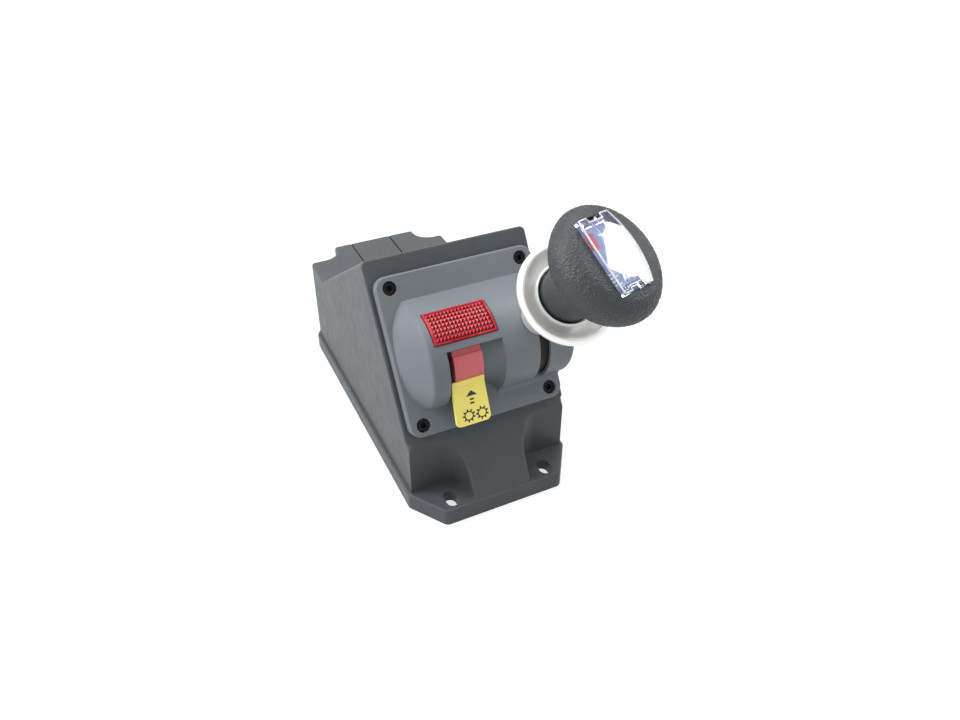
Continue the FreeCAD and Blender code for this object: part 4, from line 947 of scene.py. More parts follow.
# --------------------------------------------------------------------------------------
# Mesh tools
# --------------------------------------------------------------------------------------
class RingMesh:
    """Collects rings of points, each with the same count, and the faces between them."""

    def __init__(self, count: int) -> None:
        """Start empty.

        Args:
            count: Number of points in each ring.
        """
        self.count = count
        self.points: List[Vector] = []
        self.faces: List[List[int]] = []

    def ring(self, places: Iterable[Vector]) -> List[int]:
        """Add one ring.

        Args:
            places: Its points, in order.

        Returns:
            The points' numbers.
        """
        start = len(self.points)
        self.points.extend(places)
        return list(range(start, start + self.count))

    def join(self, here: Sequence[int], there: Sequence[int]) -> None:
        """Add the strip of faces between two rings.

        Args:
            here: Numbers of the first ring.
            there: Numbers of the second ring.
        """
        for k in range(self.count):
            nxt = (k + 1) % self.count
            self.faces.append([here[k], here[nxt], there[nxt], there[k]])

    def chain(self, rings: Sequence[Sequence[int]], closed: bool) -> None:
        """Join rings one after another.

        Args:
            rings: The rings, in order.
            closed: True to join the last ring to the first.
        """
        for here, there in zip(rings, [*rings[1:], rings[0]] if closed else rings[1:]):
            self.join(here, there)

    def cap(self, ring: Sequence[int]) -> None:
        """Close a ring with one face.

        Args:
            ring: Numbers of the ring.
        """
        self.faces.append(list(ring))


class MeshTools:
    """Turns lists of points into placed mesh objects."""

    @staticmethod
    def make(name: str, points: Sequence[Vector], faces: Sequence[Sequence[int]],
             matrix: Matrix, smooth: bool = True, sharp_deg: float = SHARP_DEG) -> bpy.types.Object:
        """Create an object from points in a local frame.

        Args:
            name: Object name.
            points: Vertices in local millimetres.
            faces: Vertex indices of each face.
            matrix: Matrix from local millimetres to row metres.
            smooth: True for smooth shading.
            sharp_deg: Edges sharper than this stay sharp.

        Returns:
            The linked object, standing at the origin.
        """
        mesh = bpy.data.meshes.new(name)
        mesh.from_pydata([matrix @ p for p in points], [], [list(f) for f in faces])
        mesh.validate()
        grown = bmesh.new()
        grown.from_mesh(mesh)
        bmesh.ops.recalc_face_normals(grown, faces=grown.faces)
        for face in grown.faces:
            face.smooth = smooth
        for edge in grown.edges:
            if len(edge.link_faces) == 2 and edge.calc_face_angle(0.0) > math.radians(sharp_deg):
                edge.smooth = False
        grown.to_mesh(mesh)
        grown.free()
        return MeshTools.show(name, mesh)

    @staticmethod
    def show(name: str, mesh: bpy.types.Mesh) -> bpy.types.Object:
        """Make an object of a mesh and put it in the scene.

        Args:
            name: Object name.
            mesh: The mesh.

        Returns:
            The linked object, standing at the origin.
        """
        thing = bpy.data.objects.new(name, mesh)
        bpy.context.scene.collection.objects.link(thing)
        return thing

    @staticmethod
    def prisms(name: str, outlines: Sequence[Sequence[Point2]], low: float, high: float,
               matrix: Matrix, smooth: bool = True) -> bpy.types.Object:
        """Extrude closed outlines along local Z, all in one object.

        Args:
            name: Object name.
            outlines: Corners of each outline, in order.
            low: Lower height.
            high: Upper height.
            matrix: Matrix from local millimetres to row metres.
            smooth: True for smooth shading between sharp edges.

        Returns:
            The object.
        """
        points: List[Vector] = []
        faces: List[List[int]] = []
        for outline in outlines:
            block = RingMesh(len(outline))
            start = len(points)
            rings = [block.ring(Vector((x, y, height)) for x, y in outline) for height in (low, high)]
            block.cap(rings[0][::-1])
            block.cap(rings[1])
            block.join(*rings)
            points.extend(block.points)
            faces.extend([start + corner for corner in face] for face in block.faces)
        return MeshTools.make(name, points, faces, matrix, smooth)

    @staticmethod
    def bevel(thing: bpy.types.Object, width_mm: float, segments: int = 3) -> None:
        """Round the sharp edges of an object for good.

        Args:
            thing: The object.
            width_mm: Bevel width.
            segments: Number of steps.
        """
        step = thing.modifiers.new("round", "BEVEL")
        step.width = width_mm * MM
        step.segments = segments
        step.limit_method = "ANGLE"
        step.angle_limit = math.radians(SHARP_DEG)
        MeshTools.apply(thing)

    @staticmethod
    def apply(thing: bpy.types.Object) -> None:
        """Bake all modifiers into the mesh.

        Args:
            thing: The object.
        """
        graph = bpy.context.evaluated_depsgraph_get()
        baked = bpy.data.meshes.new_from_object(thing.evaluated_get(graph))
        thing.modifiers.clear()
        thing.data = baked

    @staticmethod
    def lathe(name: str, profile: Sequence[Point2], matrix: Matrix, steps: int) -> bpy.types.Object:
        """Turn a closed profile about local Z.

        Args:
            name: Object name.
            profile: (radius, height) pairs, closed back on itself.
            matrix: Matrix from local millimetres to row metres.
            steps: Number of steps round.

        Returns:
            The object.
        """
        turns = [2.0 * math.pi * k / steps for k in range(steps)]
        body = RingMesh(steps)
        rings = [body.ring(Vector((radius * math.cos(a), radius * math.sin(a), height)) for a in turns)
                 for radius, height in profile]
        body.chain(rings, closed=True)
        return MeshTools.make(name, body.points, body.faces, matrix)


# --------------------------------------------------------------------------------------
# Pieces
# --------------------------------------------------------------------------------------
@dataclass
class Workshop:
    """What every piece needs to build itself.

    Attributes:
        materials: The material shop.
        face: Sizes of the control face.
        made: Names of the pieces made so far.
    """

    materials: MaterialShop
    face: FaceSizes = field(default_factory=FaceSizes)
    made: List[str] = field(default_factory=list)

    def finish(self, thing: bpy.types.Object, finish: str, body: str, slot: str,
               replaces: Sequence[str] = ()) -> bpy.types.Object:
        """Give a piece its finish, body and record slot.

        Args:
            thing: The piece.
            finish: Name in FINISHES.
            body: Body it moves with.
            slot: Material slot of the record; not used.
            replaces: Nodes of the construction model it stands for.

        Returns:
            The same piece.
        """
        thing.data.materials.clear()
        thing.data.materials.append(self.materials.get(finish))
        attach(thing, body)
        if replaces:
            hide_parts(*replaces)
        self.report(thing)
        return thing

    def report(self, thing: bpy.types.Object) -> None:
        """Note a finished piece.

        Args:
            thing: The piece.
        """
        self.made.append(thing.name)
        LOG.info("piece %s made with %d faces", thing.name, len(thing.data.polygons))


class Facet(IntEnum):
    """Painted light of one facet, as its place among the lens's finishes: plain red, painted shade or painted
    highlight.
    """

    PLAIN = 0
    DARK = 1
    PAINTED_HIGHLIGHT = 2


class IndicatorLens:
    """Red window: a layer of small prisms inside a raised plain border."""

    BORDER_LINES = 3
    # Per prism: the lower and right facets carry painted shade, the upper one plain red, the left one a
    # painted highlight.
    PRISM_FACETS = (Facet.DARK, Facet.DARK, Facet.PLAIN, Facet.PAINTED_HIGHLIGHT)
    FACET_PAINTED_LIGHT = ("lens_painted_shade", "lens_painted_highlight")

    def __init__(self, shop: Workshop, sizes: LensSizes) -> None:
        """Keep what is needed.

        Args:
            shop: The workshop.
            sizes: Sizes of the lens.
        """
        self.shop = shop
        self.sizes = sizes
        self.matrix = shop.face.pivot_matrix()

    def _point(self, x: float, angle: float, radius: float) -> Vector:
        """Return a point on a cylinder about the shaft.

        Args:
            x: Distance across.
            angle: Angle in degrees from the face's normal.
            radius: Distance from the shaft.

        Returns:
            The point in millimetres.
        """
        a = math.radians(angle)
        return Vector((x, radius * math.sin(a), radius * math.cos(a)))

    def _grid(self) -> Tuple[List[float], List[float]]:
        """Return the lines across and up; two border lines stand on each side of the prisms.

        Returns:
            Places across in millimetres, and angles in degrees.
        """
        s = self.sizes
        x0, x1 = s.x_mm[0] + s.gap_mm, s.x_mm[1] - s.gap_mm
        wide = x1 - x0 - 2.0 * s.border_mm
        xs = [x0, x0 + s.lip_mm, x0 + s.border_mm - s.lip_mm]
        xs += [x0 + s.border_mm + wide * k / s.columns for k in range(s.columns + 1)]
        xs += [x1 - s.border_mm + s.lip_mm, x1 - s.lip_mm, x1]
        turn = math.degrees(1.0 / s.skin_mm)
        a0, a1 = s.angles_deg[0] + s.gap_mm * turn, s.angles_deg[1] - s.gap_mm * turn
        tall = a1 - a0 - 2.0 * s.border_mm * turn
        angles = [a0, a0 + s.lip_mm * turn, a0 + (s.border_mm - s.lip_mm) * turn]
        angles += [a0 + s.border_mm * turn + tall * k / s.rows for k in range(s.rows + 1)]
        angles += [a1 - (s.border_mm - s.lip_mm) * turn, a1 - s.lip_mm * turn, a1]
        return xs, angles

    def _height(self, ring: int) -> float:
        """Return the radius of a grid line by its count from the edge.

        Args:
            ring: 0 at the outer edge, BORDER_LINES where the prisms start.

        Returns:
            Radius in millimetres.
        """
        s = self.sizes
        on_border = 0 < ring < self.BORDER_LINES
        return s.skin_mm - (s.border_drop_mm if on_border else s.prism_mm)

    def build(self) -> bpy.types.Object:
        """Make the prisms, the border and the walls; the prism facets alternate between plain red, painted
        shade and painted highlight.

        Returns:
            The piece.
        """
        s = self.sizes
        xs, angles = self._grid()
        last_i, last_j = len(xs) - 1, len(angles) - 1
        points: List[Vector] = []
        faces: List[List[int]] = []
        shades: List[Facet] = []
        index: Dict[Tuple[int, int], int] = {}
        for i, x in enumerate(xs):
            for j, angle in enumerate(angles):
                index[i, j] = len(points)
                ring = min(i, j, last_i - i, last_j - j)
                points.append(self._point(x, angle, self._height(ring)))
        for i in range(last_i):
            for j in range(last_j):
                corners = [index[i, j], index[i + 1, j], index[i + 1, j + 1], index[i, j + 1]]
                if min(i, j, last_i - 1 - i, last_j - 1 - j) < self.BORDER_LINES:
                    faces.append(corners)
                    shades.append(Facet.PLAIN)
                    continue
                middle = (xs[i] + xs[i + 1]) / 2, (angles[j] + angles[j + 1]) / 2
                peak = len(points)
                points.append(self._point(*middle, s.skin_mm))
                faces.extend([corners[k], corners[(k + 1) % 4], peak] for k in range(4))
                shades.extend(self.PRISM_FACETS)
        lower: Dict[Tuple[int, int], int] = {}
        rim = ([(i, 0) for i in range(last_i)] + [(last_i, j) for j in range(last_j)]
               + [(i, last_j) for i in range(last_i, 0, -1)] + [(0, j) for j in range(last_j, 0, -1)])
        for key in rim:
            lower[key] = len(points)
            points.append(self._point(xs[key[0]], angles[key[1]], s.seat_mm))
        for k, key in enumerate(rim):
            nxt = rim[(k + 1) % len(rim)]
            faces.append([index[key], index[nxt], lower[nxt], lower[key]])
            shades.append(Facet.PLAIN)
        thing = MeshTools.make("lens_prisms", points, faces, self.matrix, smooth=False)
        self.shop.finish(thing, "red_lens", "base", "red_lens", ["indicator_lens"])
        # Add the painted shade and painted highlight materials of the facets.
        for finish in self.FACET_PAINTED_LIGHT:
            thing.data.materials.append(self.shop.materials.get(finish))
        for polygon, shade in zip(thing.data.polygons, shades):
            polygon.material_index = shade
        return thing


class FingerTab:
    """Yellow finger tab with soft moulded edges, and the signs printed on it."""

    def __init__(self, shop: Workshop, sizes: TabSizes, body: bpy.types.Object) -> None:
        """Keep what is needed.

        Args:
            shop: The workshop.
            sizes: Sizes of the tab and its signs.
            body: The construction node that gives the tab its form.
        """
        self.shop = shop
        self.sizes = sizes
        self.body = body
        (v0, n0), (v1, n1) = sizes.root_mm, sizes.tip_mm
        down = Vector((0.0, v1 - v0, n1 - n0)).normalized()
        across = Vector((1.0, 0.0, 0.0))
        out = down.cross(across)
        if out.z < 0.0:
            out = -out
        frame_matrix = Matrix((across, down, out)).transposed().to_4x4()
        frame_matrix.translation = Vector((0.0, v0, n0))
        self.matrix = shop.face.face_matrix() @ frame_matrix

    def _gear(self, centre: Point2) -> List[List[Point2]]:
        """Outline pieces of one gear sign: a ring and its teeth.

        Args:
            centre: Centre of the sign.

        Returns:
            Convex outlines.
        """
        s = self.sizes
        radius = s.gear_radius_mm
        inner, outer = (radius * share for share in s.gear_rim)
        half = radius * s.tooth_half
        rim_step, tooth_step = 2.0 * math.pi / s.rim_steps, 2.0 * math.pi / s.gear_teeth

        def polar(reach: float, angle: float, aside: float = 0.0) -> Point2:
            """Return the point at a reach and an angle from the centre, shifted aside."""
            cos, sin = math.cos(angle), math.sin(angle)
            return centre[0] + reach * cos - aside * sin, centre[1] + reach * sin + aside * cos

        pieces: List[List[Point2]] = []
        for k in range(s.rim_steps):
            a, b = k * rim_step, (k + 1) * rim_step
            pieces.append([polar(inner, a), polar(outer, a), polar(outer, b), polar(inner, b)])
        for k in range(s.gear_teeth):
            a, root = (k + 0.5) * tooth_step, outer * s.tooth_root
            pieces.append([polar(root, a, half), polar(radius, a, half),
                           polar(radius, a, -half), polar(root, a, -half)])
        return pieces

    def plate(self) -> bpy.types.Object:
        """Make the tab from the construction solid's own form, with its edges rounded.

        Returns:
            The piece.
        """
        thing = MeshTools.show("tab_plate", self.body.data.copy())
        flat = bmesh.new()
        flat.from_mesh(thing.data)
        bmesh.ops.remove_doubles(flat, verts=flat.verts, dist=self.sizes.weld_m)
        bmesh.ops.dissolve_limit(flat, angle_limit=math.radians(self.sizes.flat_deg),
                                 verts=flat.verts, edges=flat.edges)
        flat.to_mesh(thing.data)
        flat.free()
        MeshTools.bevel(thing, self.sizes.edge_mm)
        return self.shop.finish(thing, "tab_yellow", "pto", "tab_yellow", ["pto_tab"])

    def build(self) -> None:
        """Make the tab and its signs."""
        self.plate()
        self.signs()

    def signs(self) -> bpy.types.Object:
        """Make the signs as one thin printed layer.

        Returns:
            The piece.
        """
        s = self.sizes
        x, y = s.arrow_tip_mm
        low = y + s.arrow_height_mm
        outlines: List[List[Point2]] = [[(x, y), (x + s.arrow_half_mm, low), (x - s.arrow_half_mm, low)]]
        for left, right, top, bottom in s.dashes_mm:
            outlines.append([(x + left, y + top), (x + right, y + top),
                             (x + right, y + bottom), (x + left, y + bottom)])
        for centre in s.gear_centres_mm:
            outlines.extend(self._gear(centre))
        thing = MeshTools.prisms("tab_signs", outlines, 0.0, s.print_mm, self.matrix, smooth=False)
        return self.shop.finish(thing, "sign_black", "pto", "tab_yellow")


class Grip:
    """The hand grip: pebbled skin, printed label and clear cap."""

    SIDE_STEPS = 20
    BEAD_STEPS = 8
    BEAD_SHARP_DEG = 80.0
    GRAIN_SEED = 7
    DOME_SCALES = (1.0, 0.93, 0.8, 0.6, 0.35, 0.12)

    def __init__(self, shop: Workshop, sizes: GripSizes, body: bpy.types.Object) -> None:
        """Keep what is needed.

        Args:
            shop: The workshop.
            sizes: Sizes of the grip.
            body: The construction node that gives the grip its form.
        """
        self.shop = shop
        self.sizes = sizes
        self.body = body
        self.matrix = sizes.matrix(shop.face)

    def _bow(self, side: float, y: float) -> float:
        """Return the half width of the cap at one place along it.

        Args:
            side: -1 for the left side, 1 for the right.
            y: Place along the cap, from its middle.

        Returns:
            Half width in millimetres.
        """
        s = self.sizes
        bow = s.cap_bow_mm[0] if side < 0.0 else s.cap_bow_mm[1]
        return s.cap_end_mm / 2.0 + bow * (1.0 - (2.0 * y / s.cap_length_mm) ** 2)

    def _outline(self, inset: float) -> List[Point2]:
        """Outline of the cap about its own middle, with the clip notch in each short end.

        Args:
            inset: How far inside the cap's outer edge.

        Returns:
            Corners in order; the same count for every inset.
        """
        s = self.sizes
        half = s.cap_length_mm / 2.0 - inset
        steps = self.SIDE_STEPS
        right = [(self._bow(1.0, y) - inset, y)
                 for y in (-half + 2.0 * half * k / steps for k in range(steps + 1))]
        left = [(-self._bow(-1.0, y) + inset, y)
                for y in (half - 2.0 * half * k / steps for k in range(steps + 1))]
        width, depth = s.notch_mm
        top = [(width + inset, half), (width + inset, half - depth),
               (-width - inset, half - depth), (-width - inset, half)]
        low = [(-x, -y) for x, y in top]
        return right + top + left + low

    def _dome(self, x: float, y: float, drop: float) -> Vector:
        """Return a point on the cap's domed top.

        Args:
            x: Across, from the cap's middle.
            y: Along, from the cap's middle.
            drop: Depth below the outer dome.

        Returns:
            The point in grip millimetres.
        """
        s = self.sizes
        sag = s.dome_mm - math.sqrt(s.dome_mm ** 2 - x * x - y * y)
        return Vector((x + s.cap_shift_mm[0], y + s.cap_shift_mm[1], s.top_mm - sag - drop))

    def _grain_share(self, here: Vector, near: Vector) -> float:
        """Return how strongly the grain shows at one place.

        Args:
            here: The place in lever millimetres.
            near: The place in grip millimetres.

        Returns:
            0 for smooth, 1 for full grain.
        """
        s = self.sizes
        if math.hypot(here.x, here.y) < s.bore_mm[0] and here.z < s.bore_mm[1]:
            return 0.0
        x, y = near.x - s.cap_shift_mm[0], near.y - s.cap_shift_mm[1]
        inside = (abs(y) < s.cap_length_mm / 2.0 + s.seat_margin_mm
                  and abs(x) < self._bow(x, y) + s.seat_margin_mm)
        if inside and near.z > s.seat_mm - s.seat_depth_mm:
            return 0.0
        return min(1.0, max(s.neck_grain, (here.z - s.neck_top_mm) / s.neck_rise_mm))

    def _pebbles(self, here: Vector) -> float:
        """Return the height of the pebbled relief at one place.

        Args:
            here: The place in lever millimetres.

        Returns:
            Height over the skin's own surface in millimetres.
        """
        s = self.sizes
        warp = noise.noise_vector(here * s.warp_scale) * s.warp_mm
        first, second = noise.voronoi((here + warp) / s.pebble_mm)[0][:2]
        rise = min(1.0, (second - first) / s.furrow)
        return (rise * rise * (3.0 - 2.0 * rise) - s.relief_middle) * s.relief_mm

    def skin(self) -> bpy.types.Object:
        """Make the grained skin from the construction solid's own form.

        Returns:
            The piece.
        """
        thing = MeshTools.show("knob_grip", self.body.data.copy())
        step = thing.modifiers.new("even", "REMESH")
        step.mode = "VOXEL"
        step.voxel_size = self.sizes.voxel_mm * MM
        MeshTools.apply(thing)
        noise.seed_set(self.GRAIN_SEED)
        to_lever = self.shop.face.lever_matrix().inverted()
        to_grip = self.matrix.inverted()
        mesh = thing.data
        moved: List[Vector] = []
        for vertex in mesh.vertices:
            here = to_lever @ vertex.co
            share = self._grain_share(here, to_grip @ vertex.co)
            lift = self._pebbles(here) * share if share > 0.0 else 0.0
            moved.append(vertex.co + vertex.normal * lift * MM)
        for vertex, place in zip(mesh.vertices, moved):
            vertex.co = place
        for polygon in mesh.polygons:
            polygon.use_smooth = True
        return self.shop.finish(thing, "knob_black", "lever", "knob_black", ["knob_body"])

    def cap(self) -> bpy.types.Object:
        """Make the clear cap as a thin domed shell with a clip notch at each end.

        Returns:
            The piece.
        """
        s = self.sizes
        shift = Vector((*s.cap_shift_mm, s.seat_mm + s.label_mm + s.label_gap_mm))
        outlines = {0.0: self._outline(s.cap_gap_mm), s.wall_mm: self._outline(s.wall_mm)}
        shell = RingMesh(len(outlines[0.0]))
        feet: List[List[int]] = []
        for drop, outline in outlines.items():
            feet.append(shell.ring(Vector((x, y, 0.0)) + shift for x, y in outline))
            tops = [shell.ring(self._dome(x * scale, y * scale, drop) for x, y in outline)
                    for scale in self.DOME_SCALES]
            shell.chain([feet[-1], *tops], closed=False)
            shell.cap(tops[-1])
        shell.join(*feet)
        thing = MeshTools.make("cap_shell", shell.points, shell.faces, self.matrix)
        MeshTools.bevel(thing, s.cap_round_mm, 2)
        return self.shop.finish(thing, "cap_clear", "lever", "cap_clear", ["knob_cap"])

    def highlight_bead(self) -> bpy.types.Object:
        """Make the white bead that runs along the cap's upper edge, a painted highlight on the clear cap's
        edge.

        Returns:
            The piece.
        """
        s = self.sizes
        path = self._outline(s.cap_gap_mm + s.bead_mm)
        turns = [2.0 * math.pi * step / self.BEAD_STEPS for step in range(self.BEAD_STEPS)]
        wire = RingMesh(self.BEAD_STEPS)
        rings: List[List[int]] = []
        for k, (x, y) in enumerate(path):
            side = (Vector(path[(k + 1) % len(path)]) - Vector(path[k - 1])).normalized()
            out = Vector((side.y, -side.x, 0.0)) * s.bead_mm
            up = Vector((0.0, 0.0, s.bead_mm * s.bead_tall))
            middle = self._dome(x, y, s.bead_mm * s.bead_sunk)
            rings.append(wire.ring(middle + out * math.cos(a) + up * math.sin(a) for a in turns))
        wire.chain(rings, closed=True)
        # The bead is a painted highlight on the clear cap's edge.
        thing = MeshTools.make("cap_highlight_bead", wire.points, wire.faces, self.matrix,
                               sharp_deg=self.BEAD_SHARP_DEG)
        return self.shop.finish(thing, "cap_painted_highlight", "lever", "cap_clear")

    def _print(self, name: str, outline: Sequence[Point2], finish: str) -> None:
        """Print one flat shape on the label.

        Args:
            name: Object name.
            outline: Corners about the cap's middle.
            finish: Name in FINISHES.
        """
        s = self.sizes
        gap, thickness = s.print_mm
        low = s.seat_mm + s.label_mm + gap
        placed = [(x + s.cap_shift_mm[0], y + s.cap_shift_mm[1]) for x, y in outline]
        thing = MeshTools.prisms(name, [placed], low, low + thickness, self.matrix)
        self.shop.finish(thing, finish, "lever", "label_blue")

    def label(self) -> None:
        """Print the red corner and the short bars."""
        s = self.sizes
        self._print("label_red_patch", s.patch_mm, "sign_red")
        left, lowest = s.bar_corner_mm
        for k in range(s.bar_count):
            low = lowest + s.bar_step_mm * k
            high = low + s.bar_height_mm
            right = left + s.bar_widths_mm[k % len(s.bar_widths_mm)]
            bar = [(left, low), (right, low), (right, high), (left, high)]
            self._print(f"label_bar_{k}", bar, "sign_white")

    def build(self) -> None:
        """Make the skin, the label's print and the cap."""
        self.skin()
        self.label()
        self.cap()
        self.highlight_bead()


class CollarLip:
    """Bright rolled lip where the lift collar's dish meets the grip's neck."""

    def __init__(self, shop: Workshop, sizes: LipSizes) -> None:
        """Keep what is needed.

        Args:
            shop: The workshop.
            sizes: Sizes of the lip.
        """
        self.shop = shop
        self.sizes = sizes

    def build(self) -> bpy.types.Object:
        """Turn the lip about the lever.

        Returns:
            The piece.
        """
        s = self.sizes
        turns = [2.0 * math.pi * k / s.roll_steps for k in range(s.roll_steps)]
        (radius, height), (wide, tall) = s.middle_mm, s.roll_mm
        profile = [(radius + wide * math.cos(a), height + tall * math.sin(a)) for a in turns]
        thing = MeshTools.lathe("collar_lip", profile, self.shop.face.lever_matrix(), s.turn_steps)
        return self.shop.finish(thing, "collar_aluminium", "collar", "collar_aluminium")


class Springs:
    """Coil springs, each taken from its construction node as an object of its own."""

    PLUNGERS: Tuple[Tuple[str, str, str], ...] = (
        ("lever_plunger_spring", "tipping_spool", "tipping_spool_slide"),
        ("pto_plunger_spring", "pto_spool", "pto_spool_slide"),
    )

    def __init__(self, shop: Workshop, loaded: Dict[str, object]) -> None:
        """Keep what is needed.

        Args:
            shop: The workshop.
        """
        self.shop = shop
        self.nodes: Dict[str, bpy.types.Object] = loaded["nodes"]
        self.joints: Dict[str, dict] = {j["name"]: j for j in loaded["joints"]}

    def coil(self, node: str, joint: str) -> Tuple[bpy.types.Object, Vector, float, float]:
        """Take a spring's wire as an object of its own.

        Args:
            node: The construction node.
            joint: The joint that presses the spring.

        Returns:
            The wire, the joint's axis, and the two ends of the wire along it.
        """
        thing = MeshTools.show(f"{node}_coil", self.nodes[node].data.copy())
        thing.data.materials.clear()
        thing.data.materials.append(self.shop.materials.get("spring_steel"))
        axis = Vector(self.joints[joint]["axis"]).normalized()
        along = [v.co.dot(axis) for v in thing.data.vertices]
        return thing, axis, min(along), max(along)

    def collar_spring(self) -> None:
        """Make the collar's spring, which rides on the collar."""
        thing, axis, low, high = self.coil("collar_spring", "collar_lift")
        self.shop.finish(thing, "spring_steel", "collar", "spring_steel", ["collar_spring"])
        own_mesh(thing)

    def plunger_spring(self, node: str, joint: str) -> None:
        """Make a plunger's spring, which stands on the frame's floor.

        Args:
            node: The construction node.
            joint: The plunger's slide.
        """
        thing, axis, low, high = self.coil(node, joint)
        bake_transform(thing)
        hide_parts(node)
        self.shop.report(thing)

    def build(self) -> None:
        """Make the three springs."""
        self.collar_spring()
        for node, body, joint in self.PLUNGERS:
            self.plunger_spring(node, joint)


class Dressing:
    """Gives every construction node its finish."""

    def __init__(self, shop: Workshop, loaded: Dict[str, object]) -> None:
        """Keep what is needed.

        Args:
            shop: The workshop.
        """
        self.shop = shop
        self.nodes: Dict[str, bpy.types.Object] = loaded["nodes"]
        self.record: Dict[str, object] = loaded["record"]

    def build(self) -> None:
        """Put a procedural material on each node by its record slot."""
        slots = {p["node"]: p["material_slot"] for p in self.record["subparts"]}
        for node, thing in self.nodes.items():
            slot = slots[node]
            thing.data.materials.clear()
            thing.data.materials.append(self.shop.materials.get(slot))
            LOG.info("node %s dressed as %s", node, slot)


# --------------------------------------------------------------------------------------
# Studio
# --------------------------------------------------------------------------------------
@dataclass(frozen=True)
class Softbox:
    """A rectangular lamp.

    Attributes:
        name: Lamp name.
        place: Where it hangs, in metres.
        aim: What it points at.
        size: Width and height in metres.
        power: Power in watts.
    """

    name: str
    place: Point3
    aim: Point3
    size: Point2
    power: float


@dataclass(frozen=True)
class Surround:
    """Tones of the floor and of the world round it.

    Attributes:
        half_m: Half the floor's side.
        fibre_scale: Cells of the paper's fibre per metre.
        roughness: Roughness of the paper.
        specular: Specular level of the paper.
        seen_tones: Darkest and palest tone of the floor as it is seen.
        seen_glow: Strength of the white glow of the floor as it is seen.
        lit_tones: Darkest and palest tone of the floor as it throws light back.
        fill_colour: Colour of the fill light.
        fill_lean: How much the fill grows along X, Y and Z.
        lean_range: Lean at which the fill is weakest and strongest.
        fill_range: Weakest and strongest fill.
    """

    half_m: float = 6.0
    fibre_scale: float = 6.0
    roughness: float = 0.9
    specular: float = 0.1
    seen_tones: Point2 = (0.30, 0.34)
    seen_glow: float = 0.72
    lit_tones: Point2 = (0.56, 0.62)
    fill_colour: Colour = (0.96, 0.98, 1.0)
    fill_lean: Point3 = (-0.35, 0.55, 0.75)
    lean_range: Point2 = (-0.6, 0.9)
    fill_range: Point2 = (0.45, 0.95)


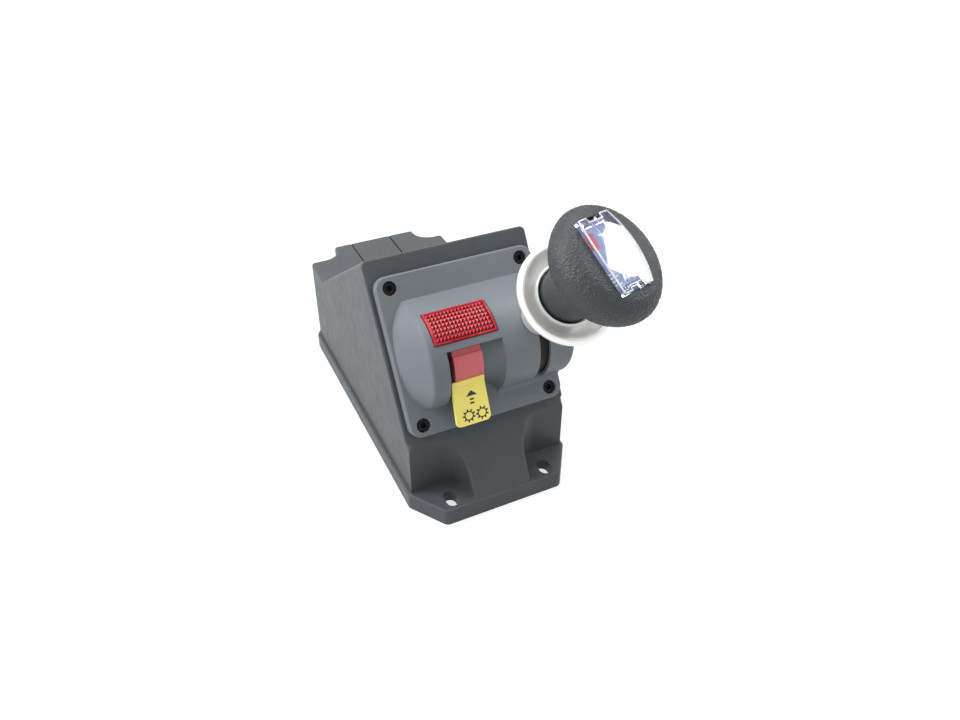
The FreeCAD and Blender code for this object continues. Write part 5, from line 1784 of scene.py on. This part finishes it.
class Studio:
    """Floor, light and camera."""

    BOXES: Tuple[Softbox, ...] = (
        Softbox("key_box", (-1.15, 0.30, 0.75), (0.0, -0.03, 0.05), (0.8, 0.8), 14.5),
        Softbox("top_box", (0.05, 0.25, 1.30), (0.0, 0.0, 0.05), (1.0, 0.8), 9.0),
        Softbox("side_box", (0.749, -0.199, 0.714), (0.033, -0.13, 0.172), (0.22, 0.20), 2.2),
    )

    def __init__(self, pose: CameraPose, tones: Surround) -> None:
        """Keep what is needed.

        Args:
            pose: The camera's pose.
            tones: Tones of the floor and the world.
        """
        self.pose = pose
        self.tones = tones

    def floor(self) -> None:
        """Make the pale floor."""
        tones = self.tones
        mesh = bpy.data.meshes.new("floor")
        half = tones.half_m
        mesh.from_pydata(
            [(-half, -half, 0.0), (half, -half, 0.0), (half, half, 0.0), (-half, half, 0.0)],
            [], [(0, 1, 2, 3)])
        thing = MeshTools.show("floor", mesh)
        material = bpy.data.materials.new("floor_paper")
        material.use_nodes = True
        material.node_tree.nodes.clear()
        build = NodeBuilder(material.node_tree)
        output = build.add("ShaderNodeOutputMaterial")
        fibre = build.object_noise(tones.fibre_scale).outputs["Fac"]
        shown = self._paper(build, fibre, tones.seen_tones)
        shown.inputs["Emission Color"].default_value = WHITE
        shown.inputs["Emission Strength"].default_value = tones.seen_glow
        dull = self._paper(build, fibre, tones.lit_tones)
        mix = build.add("ShaderNodeMixShader")
        build.link(Studio.seen_rays(build), mix.inputs["Fac"])
        build.link(dull.outputs["BSDF"], mix.inputs[1])
        build.link(shown.outputs["BSDF"], mix.inputs[2])
        build.link(mix.outputs["Shader"], output.inputs["Surface"])
        mesh.materials.append(material)
        thing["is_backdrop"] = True
        LOG.info("floor laid")

    def _paper(self, build: NodeBuilder, fibre: bpy.types.NodeSocket, tones: Point2) -> bpy.types.Node:
        """Add a matt paper shader.

        Args:
            build: Builder of the floor's tree.
            fibre: Mask of the paper's fibres.
            tones: Darkest and palest tone.

        Returns:
            The shader node.
        """
        paper = build.add("ShaderNodeBsdfPrincipled")
        paper.inputs["Roughness"].default_value = self.tones.roughness
        paper.inputs["Specular IOR Level"].default_value = self.tones.specular
        low, high = ((tone, tone, tone) for tone in tones)
        build.link(build.mix(fibre, low, high), paper.inputs["Base Color"])
        return paper

    @staticmethod
    def seen_rays(build: NodeBuilder) -> bpy.types.NodeSocket:
        """Return 1 for rays from the camera, from gloss and through clear parts.

        Args:
            build: Builder of the tree.

        Returns:
            The mask socket.
        """
        path = build.add("ShaderNodeLightPath")
        rays = build.math("ADD", path.outputs["Is Camera Ray"], path.outputs["Is Glossy Ray"])
        rays = build.math("ADD", rays, path.outputs["Is Transmission Ray"])
        return build.math("MINIMUM", rays, 1.0)

    def lights(self) -> None:
        """Hang the soft lamps and set the pale surround."""
        for box in self.BOXES:
            lamp = bpy.data.lights.new(box.name, "AREA")
            lamp.shape = "RECTANGLE"
            lamp.size, lamp.size_y = box.size
            lamp.energy = box.power
            thing = bpy.data.objects.new(box.name, lamp)
            bpy.context.scene.collection.objects.link(thing)
            thing.location = box.place
            aim = Vector(box.aim) - Vector(box.place)
            thing.rotation_mode = "QUATERNION"
            thing.rotation_quaternion = aim.to_track_quat("-Z", "Y")
            thing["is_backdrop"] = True
            LOG.info("lamp %s hung", box.name)

    def world(self) -> None:
        """White surround for the camera and reflections, softer for fill light."""
        world = bpy.data.worlds.new("surround")
        bpy.context.scene.world = world
        world.use_nodes = True
        world.node_tree.nodes.clear()
        build = NodeBuilder(world.node_tree)
        output = build.add("ShaderNodeOutputWorld")
        seen = build.add("ShaderNodeBackground")
        seen.inputs["Color"].default_value = WHITE
        seen.inputs["Strength"].default_value = 1.0
        fill = build.add("ShaderNodeBackground")
        fill.inputs["Color"].default_value = (*self.tones.fill_colour, 1.0)
        apart = build.add("ShaderNodeSeparateXYZ")
        place = build.add("ShaderNodeTexCoord")
        build.link(place.outputs["Generated"], apart.inputs["Vector"])
        along, up, over = (build.math("MULTIPLY", apart.outputs[axis], weight)
                           for axis, weight in zip("XYZ", self.tones.fill_lean))
        lean = build.math("ADD", build.math("ADD", along, up), over)
        strength = build.spread(lean, self.tones.lean_range, self.tones.fill_range)
        build.link(strength, fill.inputs["Strength"])
        mix = build.add("ShaderNodeMixShader")
        build.link(Studio.seen_rays(build), mix.inputs["Fac"])
        build.link(fill.outputs["Background"], mix.inputs[1])
        build.link(seen.outputs["Background"], mix.inputs[2])
        build.link(mix.outputs["Shader"], output.inputs["Surface"])
        LOG.info("surround set")

    def camera(self) -> None:
        """Stand the camera."""
        data = bpy.data.cameras.new("camera")
        data.sensor_width = self.pose.sensor_mm
        data.lens = self.pose.lens_mm
        data.clip_start, data.clip_end = self.pose.clip_m
        thing = bpy.data.objects.new("camera", data)
        bpy.context.scene.collection.objects.link(thing)
        thing.matrix_world = self.pose.matrix()
        bpy.context.scene.camera = thing
        LOG.info("camera stood at %s", tuple(round(c, 3) for c in thing.location))

    def settings(self) -> None:
        """Show colours as they are written."""
        bpy.context.scene.view_settings.view_transform = "Standard"

    def build(self) -> None:
        """Set up the whole studio."""
        self.floor()
        self.lights()
        self.world()
        self.camera()
        self.settings()


def write_sizes(key: str, sizes: Dict[str, List[List[float]]]) -> None:
    """Store the shown object's box.

    Args:
        key: Name of the moment.
        sizes: All boxes so far; changed in place.
    """
    low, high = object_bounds()
    sizes[key] = [list(low), list(high)]


def main() -> None:
    """Build the pieces and the studio."""
    sizes: Dict[str, List[List[float]]] = {}
    write_sizes("cad", sizes)
    shop = Workshop(MaterialShop(EffectLibrary()))
    Dressing(shop, frame).build()
    IndicatorLens(shop, LensSizes()).build()
    FingerTab(shop, TabSizes(), frame["nodes"]["pto_tab"]).build()
    Springs(shop, frame).build()
    Grip(shop, GripSizes(), frame["nodes"]["knob_body"]).build()
    CollarLip(shop, LipSizes()).build()
    Studio(CameraPose(), Surround()).build()
    write_sizes("visual", sizes)
    LOG.info("%d visual pieces made", len(shop.made))


if __name__ == "__main__":
    main()
